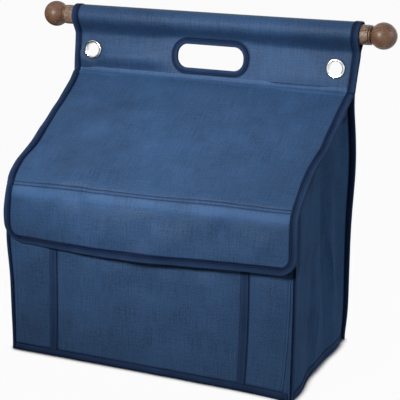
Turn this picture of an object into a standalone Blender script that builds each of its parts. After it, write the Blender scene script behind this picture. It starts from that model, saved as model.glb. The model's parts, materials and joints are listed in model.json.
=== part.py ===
"""Grooming bag: a stiffened cloth box with a sloping lid, a front flap and a wooden hanging pole.

Metres, +Z up, front towards -Y. The origin is on the floor, under the middle of the whole bag.
Cloth parts are layered as they are sewn: outer cloth, stiffening board, lining, edge binding.
"""

import math

import bmesh
import bpy
from mathutils import Vector

# Overall sizes
BODY_WIDTH = 0.489
BODY_DEPTH = 0.249
LID_OVERHANG = 0.0055
SLEEVE_FLARE = 0.005
BACK_FOOT_OVERHANG = 0.0015
SEAM_HEIGHT = 0.417
FOLD_HEIGHT = 0.290
FRONT_LEAN = 0.012
FLAP_DROP = 0.100
FOLD_RADIUS = 0.022
FLAP_CORNER_RADIUS = 0.028

# Thickness of the sewn layers
GAP = 0.0003
HINGE_CLEAR = 0.0002
CLOTH = 0.0009
BOARD = 0.0015
LINING = 0.0006
TAPE = 0.0007
HEADER_CLOTH = 0.0014
TAPE_REACH = 0.0105
CORNER_TAPE_REACH = 0.006
BOARD_MARGIN = 0.012

# Header: its lean, hand hole and eyelets
HEADER_LEAN = math.radians(9.0)
HAND_HOLE_WIDTH = 0.120
HAND_HOLE_HEIGHT = 0.041
HAND_HOLE_RADIUS = 0.0185
HAND_HOLE_ABOVE_SEAM = 0.0365
HAND_TAPE_REACH = 0.0085
EYELET_FROM_SIDE = 0.034
EYELET_ABOVE_SEAM = 0.0340
EYELET_BORE_RADIUS = 0.0115
EYELET_WALL = 0.0008
EYELET_FLANGE_RADIUS = 0.0156
EYELET_DOME = 0.0015
DOME_STEPS = 4
WASHER_THICKNESS = 0.0010
WASHER_DISH = 0.0004

# Pole, studs and ball ends
POLE_RADIUS = 0.016
POLE_ABOVE_SEAM = 0.0905
POLE_SHOWING = 0.0135
POLE_CHAMFER = 0.0012
BALL_RADIUS = 0.0212
COLLAR_RADIUS = 0.0156
COLLAR_LENGTH = 0.0032
NECK_RADIUS = 0.0132
NECK_LENGTH = 0.0016
STUD_RADIUS = 0.003
STUD_IN_POLE = 0.022
STUD_IN_BALL = 0.020

# Front pocket and its two divider tapes
POCKET_DEPTH = 0.008
POCKET_MOUTH_GAP = 0.0015
POCKET_FOOT_INSET = 0.0105
POCKET_TOP_INSET = 0.007
POCKET_SEAM = 0.006
POCKET_RISE = 0.006
POCKET_TURN_UP = 0.010
DIVIDER_FROM_SIDE = 0.080
DIVIDER_TAPE_WIDTH = 0.013
HEM_HEIGHT = 0.0115

# Hook-and-loop closure
CLOSURE_LENGTH = 0.300
CLOSURE_WIDTH = 0.025
CLOSURE_THICKNESS = 0.0010
CLOSURE_ABOVE_FLAP_EDGE = 0.034

# Roundness of the faceted solids
FOLD_STEPS = 5
LOOP_STEPS = 20
CORNER_STEPS = 6
TURNED_STEPS = 32
POLE_STEPS = 28
BALL_STEPS = 14
STUD_STEPS = 12
SMOOTH_UNDER = math.radians(40)

# Widths that follow from the body's
LID_WIDTH = BODY_WIDTH + 2 * LID_OVERHANG
SLEEVE_WIDTH = LID_WIDTH + 2 * SLEEVE_FLARE
POLE_LENGTH = SLEEVE_WIDTH + 2 * POLE_SHOWING
BACK_FOOT_WIDTH = BODY_WIDTH + 2 * BACK_FOOT_OVERHANG
EYELET_SPACING = LID_WIDTH - 2 * EYELET_FROM_SIDE
POCKET_FOOT_WIDTH = BODY_WIDTH - 2 * POCKET_FOOT_INSET
POCKET_TOP_WIDTH = BODY_WIDTH - 2 * POCKET_TOP_INSET
DIVIDER_SPACING = BODY_WIDTH - 2 * DIVIDER_FROM_SIDE

# Sizes that follow from the layers
STACK = CLOTH + GAP + BOARD + GAP + LINING
PROUD = GAP + TAPE
AXIS_CLEAR = PROUD + HINGE_CLEAR
FLOOR_CLEAR = GAP
GUSSET = CLOTH + GAP + LINING
LAYER_SPACE = 2 * PROUD + GAP
HEADER = 2 * HEADER_CLOTH + LAYER_SPACE
SLEEVE_RADIUS = POLE_RADIUS + GAP + PROUD + HEADER_CLOTH / 2
FLAP_STANDOFF = 3 * GAP + 2 * CLOSURE_THICKNESS

# Places across the depth of the bag
TAN_LEAN = FRONT_LEAN / FOLD_HEIGHT
LEAN = math.atan(TAN_LEAN)
POLE_SETBACK = HEADER / 2 * math.cos(HEADER_LEAN) + POLE_ABOVE_SEAM * math.sin(HEADER_LEAN)
SLEEVE_REACH = SLEEVE_RADIUS + HEADER_CLOTH / 2 + PROUD
BACK_OVERHANG = POLE_SETBACK - HEADER + max(BALL_RADIUS, SLEEVE_REACH)
POCKET_OUT = GAP + POCKET_DEPTH + CLOTH
POCKET_FULL_HEIGHT = HEM_HEIGHT + POCKET_TURN_UP
FRONT_OVERHANG = POCKET_OUT * math.cos(LEAN) - POCKET_FULL_HEIGHT * math.sin(LEAN)
Y_FRONT = (FRONT_OVERHANG - BODY_DEPTH - BACK_OVERHANG) / 2
Y_BACK = Y_FRONT + BODY_DEPTH
Y_SEAM = Y_BACK - HEADER
Y_BACK_LINING = Y_BACK - STACK
Y_SIDE_END = Y_BACK_LINING - PROUD - GAP
WALL_TOP = SEAM_HEIGHT - HEADER * math.sin(HEADER_LEAN) - GAP

# The lid's line: its hinge axis at the seam, and the corner where it would meet the flap's face
LID_AXIS = Vector((Y_SEAM - AXIS_CLEAR, SEAM_HEIGHT))
FLAP_OUT = FLAP_STANDOFF + STACK + AXIS_CLEAR
FOLD_CORNER = Vector((Y_FRONT - FLAP_OUT / math.cos(LEAN) + FOLD_HEIGHT * TAN_LEAN, FOLD_HEIGHT))
SLOPE = math.atan2(LID_AXIS.y - FOLD_CORNER.y, LID_AXIS.x - FOLD_CORNER.x)
LID_RUN = (LID_AXIS - FOLD_CORNER).length
FOLD_TURN = math.pi / 2 - SLOPE - LEAN
FOLD_TANGENT = FOLD_RADIUS * math.tan(FOLD_TURN / 2)
FOLD_CORNER_UP = (FOLD_HEIGHT - FLAP_OUT * math.sin(LEAN)) / math.cos(LEAN)
FRONT_TOP = FOLD_CORNER_UP - FOLD_TANGENT - PROUD - GAP
FLAP_AXIS_UP = FOLD_CORNER_UP - FOLD_TANGENT + FOLD_RADIUS * math.sin(FOLD_TURN / 2)
FLAP_FOOT_UP = FLAP_AXIS_UP - FLAP_DROP
POCKET_TOP = FLAP_FOOT_UP - POCKET_MOUTH_GAP
LID_START = ((AXIS_CLEAR + STACK + PROUD) * math.sin(SLOPE) + GAP) / math.cos(SLOPE)


def clear_scene():
    for obj in list(bpy.data.objects):
        bpy.data.objects.remove(obj, do_unlink=True)


def make_material(name, color, roughness, metallic=0.0):
    material = bpy.data.materials.new(name)
    material.use_nodes = True
    shader = material.node_tree.nodes["Principled BSDF"]
    shader.inputs["Base Color"].default_value = (*color, 1.0)
    shader.inputs["Roughness"].default_value = roughness
    shader.inputs["Metallic"].default_value = metallic
    material.diffuse_color = (*color, 1.0)
    return material


def make_object(name, mesh, material, parent=None):
    obj = bpy.data.objects.new(name, mesh)
    bpy.context.scene.collection.objects.link(obj)
    obj.data.materials.append(material)
    obj.parent = parent
    return obj


def make_empty(name, location, turn_x, parent=None):
    """An empty whose X axis is a hinge axis, or whose XZ plane is a panel's outer face."""
    empty = bpy.data.objects.new(name, None)
    bpy.context.scene.collection.objects.link(empty)
    empty.location = location
    empty.rotation_euler = (turn_x, 0.0, 0.0)
    empty.parent = parent
    return empty


def mesh_from(name, build):
    """A mesh that build(bm) fills, with its faces turned outwards."""
    bm = bmesh.new()
    build(bm)
    bmesh.ops.recalc_face_normals(bm, faces=bm.faces)
    mesh = bpy.data.meshes.new(name)
    bm.to_mesh(mesh)
    bm.free()
    return mesh


def loft(name, sections, material, parent=None, closed=False, smooth=False):
    """A solid through a row of like outlines: open and capped, or closed round a loop."""

    def build(bm):
        rings = [[bm.verts.new(point) for point in section] for section in sections]
        pairs = list(zip(rings, rings[1:]))
        if closed:
            pairs.append((rings[-1], rings[0]))
        else:
            bm.faces.new(rings[0])
            bm.faces.new(rings[-1])
        for low, high in pairs:
            for i in range(len(low)):
                j = (i + 1) % len(low)
                bm.faces.new((low[i], low[j], high[j], high[i]))

    mesh = mesh_from(name, build)
    if smooth:
        mesh.shade_smooth()
        mesh.set_sharp_from_angle(angle=SMOOTH_UNDER)
    return make_object(name, mesh, material, parent)


def plate_facing_y(name, outline, near, far, material, parent=None):
    """A flat plate: an outline of (x, z) points, between two values of y."""
    sections = [[(x, y, z) for x, z in outline] for y in (near, far)]
    return loft(name, sections, material, parent)


def plate_facing_x(name, outline, near, far, material, parent=None):
    """A flat plate: an outline of (y, z) points, between two values of x."""
    sections = [[(x, y, z) for y, z in outline] for x in (near, far)]
    return loft(name, sections, material, parent)


def plate_facing_z(name, outline, low, high, material, parent=None):
    """A flat plate: an outline of (x, y) points, between two heights."""
    sections = [[(x, y, z) for x, y in outline] for z in (low, high)]
    return loft(name, sections, material, parent)


def rectangle(half_width, low, high):
    return [(-half_width, low), (half_width, low), (half_width, high), (-half_width, high)]


def arc_points(centre, radius, start, end, steps):
    """Points on an arc in a plane, from the start angle to the end angle."""
    return [
        Vector(centre) + radius * Vector((math.cos(a), math.sin(a)))
        for a in (start + (end - start) * i / steps for i in range(steps + 1))
    ]


def mitred_rows(points):
    """(point, normal) rows along an open line. A normal is to its left, and longer at a corner."""
    rows = []
    for i, point in enumerate(points):
        before = (point - points[i - 1]).normalized() if i else None
        after = (points[i + 1] - point).normalized() if i + 1 < len(points) else before
        before = before or after
        left = Vector((-(before + after).y, (before + after).x)).normalized()
        rows.append((point, left / left.dot(Vector((-before.y, before.x)))))
    return rows


def bent_sheet(name, rows, depth, thickness, half_widths, material, parent=None):
    """A sheet a depth under (point, normal) rows in the (y, z) plane, with a half width at each."""
    sections = []
    for (point, normal), w in zip(rows, half_widths):
        outer = point - normal * depth
        inner = point - normal * (depth + thickness)
        sections.append([(-w, *outer), (w, *outer), (w, *inner), (-w, *inner)])
    return loft(name, sections, material, parent, smooth=True)


def edge_path(rows, depth, half_widths, side):
    """The path of one edge of a bent sheet, for sweep."""
    return [
        (Vector((side * w, *(point - normal * depth))), Vector((-side, 0, 0)), Vector((0, *normal)))
        for (point, normal), w in zip(rows, half_widths)
    ]


def sweep(name, outline, path, material, parent=None, closed=False):
    """An outline of (inward, normal) offsets carried along a path of (point, inward, normal)."""
    sections = [[p + inward * a + normal * b for a, b in outline] for p, inward, normal in path]
    return loft(name, sections, material, parent, closed)


def channel_outline(sheet, reach):
    """Binding folded round a sheet's edge: the sheet's edge is at (0, 0), half its thickness each way."""
    inner = sheet / 2 + GAP
    outer = inner + TAPE
    return [
        (-PROUD, -outer),
        (reach, -outer),
        (reach, -inner),
        (-GAP, -inner),
        (-GAP, inner),
        (reach, inner),
        (reach, outer),
        (-PROUD, outer),
    ]


def turned(name, outline, axis, steps, material, parent=None):
    """A solid of revolution from a closed outline of (radius, distance along the axis) points."""
    axis = Vector(axis)
    side = axis.orthogonal().normalized()

    def build(bm):
        ring = [bm.verts.new(side * r + axis * d) for r, d in outline]
        edges = [bm.edges.new((a, b)) for a, b in zip(ring, ring[1:])]
        if outline[0][0] > 0:
            edges.append(bm.edges.new((ring[-1], ring[0])))
        turn = {"axis": axis, "cent": (0, 0, 0), "angle": 2 * math.pi, "steps": steps}
        bmesh.ops.spin(bm, geom=ring + edges, dvec=(0, 0, 0), use_merge=True, **turn)
        bmesh.ops.remove_doubles(bm, verts=bm.verts, dist=1e-6)

    mesh = mesh_from(name, build)
    mesh.shade_smooth()
    mesh.set_sharp_from_angle(angle=SMOOTH_UNDER)
    return make_object(name, mesh, material, parent)


def cut(obj, cutter):
    """Takes the cutter's shape out of obj and keeps the cutter as a hidden helper."""
    cutter.hide_render = True
    cutter.display_type = "WIRE"
    modifier = obj.modifiers.new("cut_" + cutter.name, "BOOLEAN")
    modifier.operation = "DIFFERENCE"
    modifier.object = cutter


def rounded_rectangle(half_width, half_height, radius, centre_z, steps):
    """A rounded rectangle of (x, z) points, anticlockwise seen from the front."""
    corners = [(1, 1, 0.0), (-1, 1, 0.5), (-1, -1, 1.0), (1, -1, 1.5)]
    points = []
    for sx, sz, turn in corners:
        centre = (sx * (half_width - radius), centre_z + sz * (half_height - radius))
        start = turn * math.pi
        points += arc_points(centre, radius, start, start + math.pi / 2, steps)
    return points


def front_y(height, inset):
    """The y of the leaning front wall at a height, for a plane that far inside its outer face."""
    return Y_FRONT + inset / math.cos(LEAN) + height * TAN_LEAN


def under_lid(y, depth):
    """The height of the plane that lies a depth under the lid's hinge line, at a given y."""
    return LID_AXIS.y - (LID_AXIS.x - y) * math.tan(SLOPE) - depth / math.cos(SLOPE)


def back_half_width(height, inset=0.0):
    """Half the width of the back wall's layers at a height. It narrows towards the floor."""
    share = height / SEAM_HEIGHT
    return (BACK_FOOT_WIDTH + (LID_WIDTH - BACK_FOOT_WIDTH) * share) / 2 - PROUD - inset


def back_outline(low, high, inset=0.0):
    low_half = back_half_width(low, inset)
    high_half = back_half_width(high, inset)
    return [(-low_half, low), (low_half, low), (high_half, high), (-high_half, high)]


def make_back_wall(mats):
    top = WALL_TOP
    margin = BOARD_MARGIN
    board_face = Y_BACK_LINING + LINING + GAP
    wall = back_outline(FLOOR_CLEAR, top)
    board = back_outline(FLOOR_CLEAR + margin, top - margin, margin)
    plate_facing_y("back_cloth", wall, Y_BACK - CLOTH, Y_BACK, mats["cloth"])
    plate_facing_y("back_board", board, board_face, board_face + BOARD, mats["board"])
    plate_facing_y("back_lining", wall, Y_BACK_LINING, Y_BACK_LINING + LINING, mats["lining"])
    middle = (Y_BACK + Y_BACK_LINING) / 2
    for side, word in ((-1, "left"), (1, "right")):
        path = [
            (Vector((side * back_half_width(z), middle, z)), Vector((-side, 0, 0)), Vector((0, 1, 0)))
            for z in (FLOOR_CLEAR, top)
        ]
        outline = channel_outline(STACK, TAPE_REACH)
        sweep(f"back_binding_{word}", outline, path, mats["binding"])


def make_front_wall(mats, front):
    """The front wall's layers, in the leaning frame of its outer face."""
    half = BODY_WIDTH / 2
    foot = FLOOR_CLEAR + GAP
    wall = rectangle(half, foot, FRONT_TOP)
    board = rectangle(half - BOARD_MARGIN, foot + BOARD_MARGIN, FRONT_TOP - BOARD_MARGIN)
    board_face = CLOTH + GAP
    plate_facing_y("front_cloth", wall, 0.0, CLOTH, mats["cloth"], front)
    plate_facing_y("front_board", board, board_face, board_face + BOARD, mats["board"], front)
    plate_facing_y("front_lining", wall, STACK - LINING, STACK, mats["lining"], front)
    ends = (half - CORNER_TAPE_REACH - GAP, -half + CORNER_TAPE_REACH + GAP)
    path = [
        (Vector((x, STACK / 2, FRONT_TOP)), Vector((0, 0, -1)), Vector((0, 1, 0))) for x in ends
    ]
    outline = channel_outline(STACK, TAPE_REACH)
    sweep("front_top_binding", outline, path, mats["binding"], front)
    make_corner_tapes(mats, front, half, foot)


def make_corner_tapes(mats, front, half, foot):
    """An angle of tape over each front corner: one leg on the front wall, one on the gusset."""
    reach = CORNER_TAPE_REACH
    for side, word in ((-1, "left"), (1, "right")):
        outline = [
            (reach, -PROUD),
            (reach, -GAP),
            (-GAP, -GAP),
            (-GAP, STACK + reach),
            (-PROUD, STACK + reach),
            (-PROUD, -PROUD),
        ]
        path = [
            (Vector((side * half, 0, z)), Vector((-side, 0, 0)), Vector((0, 1, 0)))
            for z in (foot, FRONT_TOP)
        ]
        sweep(f"front_corner_binding_{word}", outline, path, mats["binding"], front)


def gusset_outline(foot, depth_under_lid, front_inset, back_y):
    """A side wall's (y, z) outline: upright back, leaning front and a top that follows the lid."""
    rise = math.tan(SLOPE)
    start = under_lid(0.0, depth_under_lid)
    offset = front_y(0.0, front_inset)
    front_top = (start + rise * offset) / (1 - rise * TAN_LEAN)
    return [
        (front_y(foot, front_inset), foot),
        (back_y, foot),
        (back_y, under_lid(back_y, depth_under_lid)),
        (front_y(front_top, front_inset), front_top),
    ]


def make_gussets(mats):
    half = BODY_WIDTH / 2
    edge_depth = AXIS_CLEAR + STACK + PROUD + GAP + PROUD
    outline = gusset_outline(FLOOR_CLEAR, edge_depth, STACK + GAP, Y_SIDE_END)
    along = Vector((0, math.cos(SLOPE), math.sin(SLOPE)))
    low = Vector((0, *outline[3])) + along * (CORNER_TAPE_REACH + PROUD) / math.cos(SLOPE)
    high = Vector((0, *outline[2])) - along * (GAP + TAPE_REACH * math.tan(SLOPE))
    down = Vector((0, math.sin(SLOPE), -math.cos(SLOPE)))
    for side, word in ((-1, "left"), (1, "right")):
        outer, inner = side * half, side * (half - CLOTH)
        plate_facing_x(f"gusset_cloth_{word}", outline, inner, outer, mats["cloth"])
        outer = side * (half - CLOTH - GAP)
        inner = side * (half - GUSSET)
        plate_facing_x(f"gusset_lining_{word}", outline, inner, outer, mats["lining"])
        middle = Vector((side * (half - GUSSET / 2), 0, 0))
        path = [(middle + point, down, Vector((side, 0, 0))) for point in (low, high)]
        channel = channel_outline(GUSSET, TAPE_REACH)
        sweep(f"gusset_top_binding_{word}", channel, path, mats["binding"])


def make_base(mats):
    half = BODY_WIDTH / 2 - GUSSET - GAP
    near = front_y(STACK, STACK + GAP)
    far = Y_SIDE_END

    def layer(name, low, high, material, inset=0.0):
        outline = rectangle(half - inset, near + inset, far - inset)
        plate_facing_z(name, outline, low, high, mats[material])

    board_low = CLOTH + GAP
    lining_low = board_low + BOARD + GAP
    layer("base_cloth", 0.0, CLOTH, "cloth")
    layer("base_board", board_low, board_low + BOARD, "board", GAP)
    layer("base_lining", lining_low, lining_low + LINING, "lining")


def make_hems(mats, front):
    """Tape round the foot of the four walls."""
    half = BODY_WIDTH / 2
    foot = 2 * GAP
    front_half = half - CORNER_TAPE_REACH - GAP
    over_pocket = GAP + CLOTH + GAP
    strip = rectangle(front_half, foot, HEM_HEIGHT)
    plate_facing_y("hem_front", strip, -over_pocket - TAPE, -over_pocket, mats["binding"], front)
    back_half = back_half_width(HEM_HEIGHT) - TAPE_REACH - 2 * GAP
    strip = rectangle(back_half, foot, HEM_HEIGHT)
    plate_facing_y("hem_back", strip, Y_BACK + GAP, Y_BACK + PROUD, mats["binding"])
    near = front_y(HEM_HEIGHT, STACK + CORNER_TAPE_REACH + GAP)
    far = Y_SIDE_END - GAP
    strip = [(near, foot), (far, foot), (far, HEM_HEIGHT), (near, HEM_HEIGHT)]
    for side, word in ((-1, "left"), (1, "right")):
        ends = (side * (half + GAP), side * (half + PROUD))
        plate_facing_x(f"hem_{word}", strip, min(ends), max(ends), mats["binding"])


def header_rows():
    """(point, normal) rows of the header's outer face, in the frame of its leaning front."""
    radius = SLEEVE_RADIUS + HEADER_CLOTH / 2
    merge = HAND_HOLE_ABOVE_SEAM + HAND_HOLE_HEIGHT / 2 + HAND_TAPE_REACH + GAP
    away = Vector((-HEADER / 2, merge - POLE_ABOVE_SEAM))
    first = math.atan2(away.y, away.x) - math.acos(radius / away.length) + 2 * math.pi
    centre = (HEADER / 2, POLE_ABOVE_SEAM)
    loop = arc_points(centre, radius, first, math.pi - first, LOOP_STEPS)
    front = [Vector((0, 0)), Vector((0, merge))]
    back = [Vector((HEADER, merge)), Vector((HEADER, 0))]
    return mitred_rows(front + loop + back)


def header_half_width(above_seam):
    """The header widens from the seam to the top of the sleeve."""
    share = above_seam / (POLE_ABOVE_SEAM + SLEEVE_RADIUS)
    return (LID_WIDTH + (SLEEVE_WIDTH - LID_WIDTH) * share) / 2 - PROUD


def make_header(mats, header):
    rows = header_rows()
    widths = [header_half_width(point.y) for point, _ in rows]
    sheet = bent_sheet("header_sleeve", rows, 0.0, HEADER_CLOTH, widths, mats["cloth"], header)
    outline = channel_outline(HEADER_CLOTH, TAPE_REACH)
    for side, word in ((-1, "left"), (1, "right")):
        path = edge_path(rows, HEADER_CLOTH / 2, widths, side)
        sweep(f"header_binding_{word}", outline, path, mats["binding"], header)
    cut_hand_hole(mats, sheet, header)
    for side, word in ((-1, "left"), (1, "right")):
        make_eyelet(mats, sheet, header, side, word)


def cut_hand_hole(mats, sheet, header):
    half_width = HAND_HOLE_WIDTH / 2
    half_height = HAND_HOLE_HEIGHT / 2
    shape = (HAND_HOLE_RADIUS, HAND_HOLE_ABOVE_SEAM, CORNER_STEPS)
    edge = rounded_rectangle(half_width, half_height, *shape)
    ends = (-HEADER, 2 * HEADER)
    cut(sheet, plate_facing_y("hand_hole_cutter", edge, *ends, mats["cloth"], header))
    path = []
    for i, (x, z) in enumerate(edge):
        ahead = Vector(edge[(i + 1) % len(edge)]) - Vector(edge[i - 1])
        away = Vector((ahead.y, 0, -ahead.x)).normalized()
        path.append((Vector((x, HEADER / 2, z)), away, Vector((0, 1, 0))))
    outline = channel_outline(HEADER, HAND_TAPE_REACH)
    sweep("hand_hole_binding", outline, path, mats["binding"], header, closed=True)


def make_eyelet(mats, sheet, header, side, word):
    """A grommet pressed through both layers, and the dished washer that it is curled over."""
    place = (side * EYELET_SPACING / 2, 0, EYELET_ABOVE_SEAM)
    barrel = EYELET_BORE_RADIUS + EYELET_WALL
    hole = [(0, -HEADER), (barrel + GAP, -HEADER), (barrel + GAP, 2 * HEADER), (0, 2 * HEADER)]
    cutter = turned(f"eyelet_cutter_{word}", hole, (0, 1, 0), TURNED_STEPS, mats["cloth"], header)
    cutter.location = place
    cut(sheet, cutter)
    rim = EYELET_FLANGE_RADIUS
    washer_near = HEADER + GAP
    washer_far = washer_near + WASHER_THICKNESS
    curl = washer_far + GAP
    middle, reach = (EYELET_BORE_RADIUS + rim) / 2, (rim - EYELET_BORE_RADIUS) / 2
    dome = arc_points((0, 0), 1, math.pi, 0, DOME_STEPS)
    grommet = [(middle + reach * across, -GAP - EYELET_DOME * out) for across, out in dome]
    grommet += [
        (barrel, -GAP),
        (barrel, curl),
        (barrel + EYELET_WALL, curl),
        (barrel + EYELET_WALL, curl + EYELET_WALL),
        (EYELET_BORE_RADIUS, curl + EYELET_WALL),
    ]
    eyelet = turned(f"eyelet_{word}", grommet, (0, 1, 0), TURNED_STEPS, mats["nickel"], header)
    eyelet.location = place
    ring = [
        (barrel + GAP, washer_near),
        (rim, washer_near),
        (rim - EYELET_WALL / 2, washer_far),
        (barrel + EYELET_WALL + GAP, washer_far),
        (barrel + GAP, washer_far - WASHER_DISH),
    ]
    name = f"eyelet_washer_{word}"
    washer = turned(name, ring, (0, 1, 0), TURNED_STEPS, mats["nickel"], header)
    washer.location = place


def fold_rows(centre, start, end):
    """(point, normal) rows round a stretch of the fold, between two angles."""
    rows = []
    for point in arc_points(centre, FOLD_RADIUS, start, end, FOLD_STEPS):
        rows.append((point, (point - Vector(centre)).normalized()))
    return rows


def lid_rows():
    """(point, normal) rows in the lid's frame, from the seam to the middle of the fold."""
    straight_end = LID_RUN - FOLD_TANGENT
    last = math.pi / 2 + FOLD_TURN / 2 - GAP / 2 / FOLD_RADIUS
    bend = fold_rows((-straight_end, -FOLD_RADIUS), math.pi / 2, last)
    return [(Vector((-LID_START, 0)), Vector((0, 1)))] + bend


def flap_bend_rows():
    """(point, normal) rows in the flap's frame, from the middle of the fold to its foot."""
    half_turn = FOLD_TURN / 2
    centre = (FOLD_RADIUS * math.cos(half_turn), -FOLD_RADIUS * math.sin(half_turn))
    return fold_rows(centre, math.pi - half_turn + GAP / 2 / FOLD_RADIUS, math.pi)


def make_lid(mats, lid):
    rows = lid_rows()
    widths = [LID_WIDTH / 2 - PROUD] * len(rows)
    lining_depth = AXIS_CLEAR + STACK - LINING
    bent_sheet("lid_cloth", rows, AXIS_CLEAR, CLOTH, widths, mats["cloth"], lid)
    bent_sheet("lid_lining", rows, lining_depth, LINING, widths, mats["lining"], lid)
    board_top = -(AXIS_CLEAR + CLOTH + GAP)
    far = -(LID_RUN - FOLD_TANGENT - GAP)
    outline = rectangle(widths[0] - BOARD_MARGIN, far, -LID_START - BOARD_MARGIN)
    plate_facing_z("lid_board", outline, board_top - BOARD, board_top, mats["board"], lid)
    outline = channel_outline(STACK, TAPE_REACH)
    for side, word in ((-1, "left"), (1, "right")):
        path = edge_path(rows, AXIS_CLEAR + STACK / 2, widths, side)
        sweep(f"lid_binding_{word}", outline, path, mats["binding"], lid)


def flap_edge():
    """(distance down, half width, angle) round one lower corner of the flap, to its foot."""
    half = LID_WIDTH / 2 - PROUD
    radius = FLAP_CORNER_RADIUS
    down = FLAP_DROP - PROUD - radius
    edge = []
    for i in range(CORNER_STEPS + 1):
        angle = math.pi / 2 * i / CORNER_STEPS
        edge.append((down + radius * math.sin(angle), half - radius + radius * math.cos(angle), angle))
    return edge


def make_flap(mats, flap):
    half = LID_WIDTH / 2 - PROUD
    bend = flap_bend_rows()
    edge = flap_edge()
    outward = Vector((-1, 0))
    rows = bend + [(Vector((bend[-1][0].x, -down)), outward) for down, _, _ in edge]
    widths = [half] * len(bend) + [w for _, w, _ in edge]
    lining_depth = AXIS_CLEAR + STACK - LINING
    bent_sheet("flap_cloth", rows, AXIS_CLEAR, CLOTH, widths, mats["cloth"], flap)
    bent_sheet("flap_lining", rows, lining_depth, LINING, widths, mats["lining"], flap)
    near = bend[-1][0].x + AXIS_CLEAR + CLOTH + GAP
    board = rectangle(half - BOARD_MARGIN, BOARD_MARGIN - FLAP_DROP, bend[-1][0].y - GAP)
    plate_facing_y("flap_board", board, near, near + BOARD, mats["board"], flap)
    inner = bend[-1][0].x + AXIS_CLEAR + STACK + GAP
    low = CLOSURE_ABOVE_FLAP_EDGE - FLAP_DROP
    strip = rectangle(CLOSURE_LENGTH / 2, low, low + CLOSURE_WIDTH)
    plate_facing_y("hook_strip", strip, inner, inner + CLOSURE_THICKNESS, mats["closure"], flap)
    make_flap_binding(mats, flap, bend, half, edge)


def make_flap_binding(mats, flap, bend, half, edge):
    """Binding down one side of the flap, round its lower corners and up the other side."""
    depth = AXIS_CLEAR + STACK / 2
    right = edge_path(bend, depth, [half] * len(bend), 1)
    across = bend[-1][0].x + depth
    for down, width, angle in edge:
        inward = Vector((-math.cos(angle), 0, math.sin(angle)))
        right.append((Vector((width, across, -down)), inward, Vector((0, -1, 0))))
    left = [(Vector((-p.x, p.y, p.z)), Vector((-i.x, i.y, i.z)), n) for p, i, n in reversed(right)]
    outline = channel_outline(STACK, TAPE_REACH)
    sweep("flap_binding", outline, right + left, mats["binding"], flap)


def pocket_columns():
    """(x, stand-off share) across the pocket's mouth, from its middle to its right edge."""
    half = POCKET_TOP_WIDTH / 2
    inner = DIVIDER_SPACING / 2 - DIVIDER_TAPE_WIDTH / 2
    outer = DIVIDER_SPACING / 2 + DIVIDER_TAPE_WIDTH / 2
    edge = half - POCKET_SEAM
    bay = [(0.0, 1), (inner - POCKET_RISE, 1), (inner, 0)]
    side_bay = [(outer, 0), (outer + POCKET_RISE, 1), (edge - POCKET_RISE, 1), (edge, 0)]
    return bay + side_bay + [(half, 0)]


def make_pocket(mats, front):
    """The pocket's cloth: sewn down at its sides, foot and dividers, and standing off between."""
    right = pocket_columns()
    columns = [(-x, share) for x, share in reversed(right[1:])] + right
    rows = [(2 * GAP, 0), (HEM_HEIGHT, 0), (HEM_HEIGHT + POCKET_TURN_UP, 1), (POCKET_TOP, 1)]
    divider = DIVIDER_SPACING / 2 + DIVIDER_TAPE_WIDTH / 2
    taper = (POCKET_TOP_WIDTH - POCKET_FOOT_WIDTH) / 2 / (POCKET_TOP_WIDTH / 2 - divider)

    def place(x, share, z, rise, depth):
        beyond = max(0.0, abs(x) - divider) * taper * (1 - z / POCKET_TOP)
        return (x - math.copysign(beyond, x), -GAP - POCKET_DEPTH * share * rise - depth, z)

    def build(bm):
        grids = []
        for depth in (0.0, CLOTH):
            grid = [[bm.verts.new(place(x, s, z, rise, depth)) for x, s in columns] for z, rise in rows]
            for low, high in zip(grid, grid[1:]):
                for i in range(len(low) - 1):
                    bm.faces.new((low[i], low[i + 1], high[i + 1], high[i]))
            right_side = [row[-1] for row in grid[1:-1]]
            left_side = [row[0] for row in reversed(grid[1:-1])]
            grids.append(grid[0] + right_side + grid[-1][::-1] + left_side)
        inner, outer = grids
        for i in range(len(inner)):
            j = (i + 1) % len(inner)
            bm.faces.new((inner[i], inner[j], outer[j], outer[i]))

    mesh = mesh_from("pocket_cloth", build)
    mesh.shade_smooth()
    mesh.set_sharp_from_angle(angle=SMOOTH_UNDER)
    make_object("pocket_cloth", mesh, mats["cloth"], front)
    make_divider_tapes(mats, front)


def make_divider_tapes(mats, front):
    low = HEM_HEIGHT + GAP
    high = POCKET_TOP
    face = -(GAP + CLOTH + GAP)
    half = DIVIDER_TAPE_WIDTH / 2 - 2 * GAP
    for side, word in ((-1, "left"), (1, "right")):
        centre = side * DIVIDER_SPACING / 2
        strip = [(centre + x, z) for x, z in rectangle(half, low, high)]
        plate_facing_y(f"pocket_tape_{word}", strip, face - TAPE, face, mats["binding"], front)


def make_loop_strip(mats, front):
    """The soft half of the closure, on the front wall behind the flap's hook strip."""
    low = FLAP_FOOT_UP + CLOSURE_ABOVE_FLAP_EDGE
    strip = rectangle(CLOSURE_LENGTH / 2, low, low + CLOSURE_WIDTH)
    face = -(GAP + CLOSURE_THICKNESS)
    plate_facing_y("loop_strip", strip, face, -GAP, mats["closure"], front)


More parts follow.
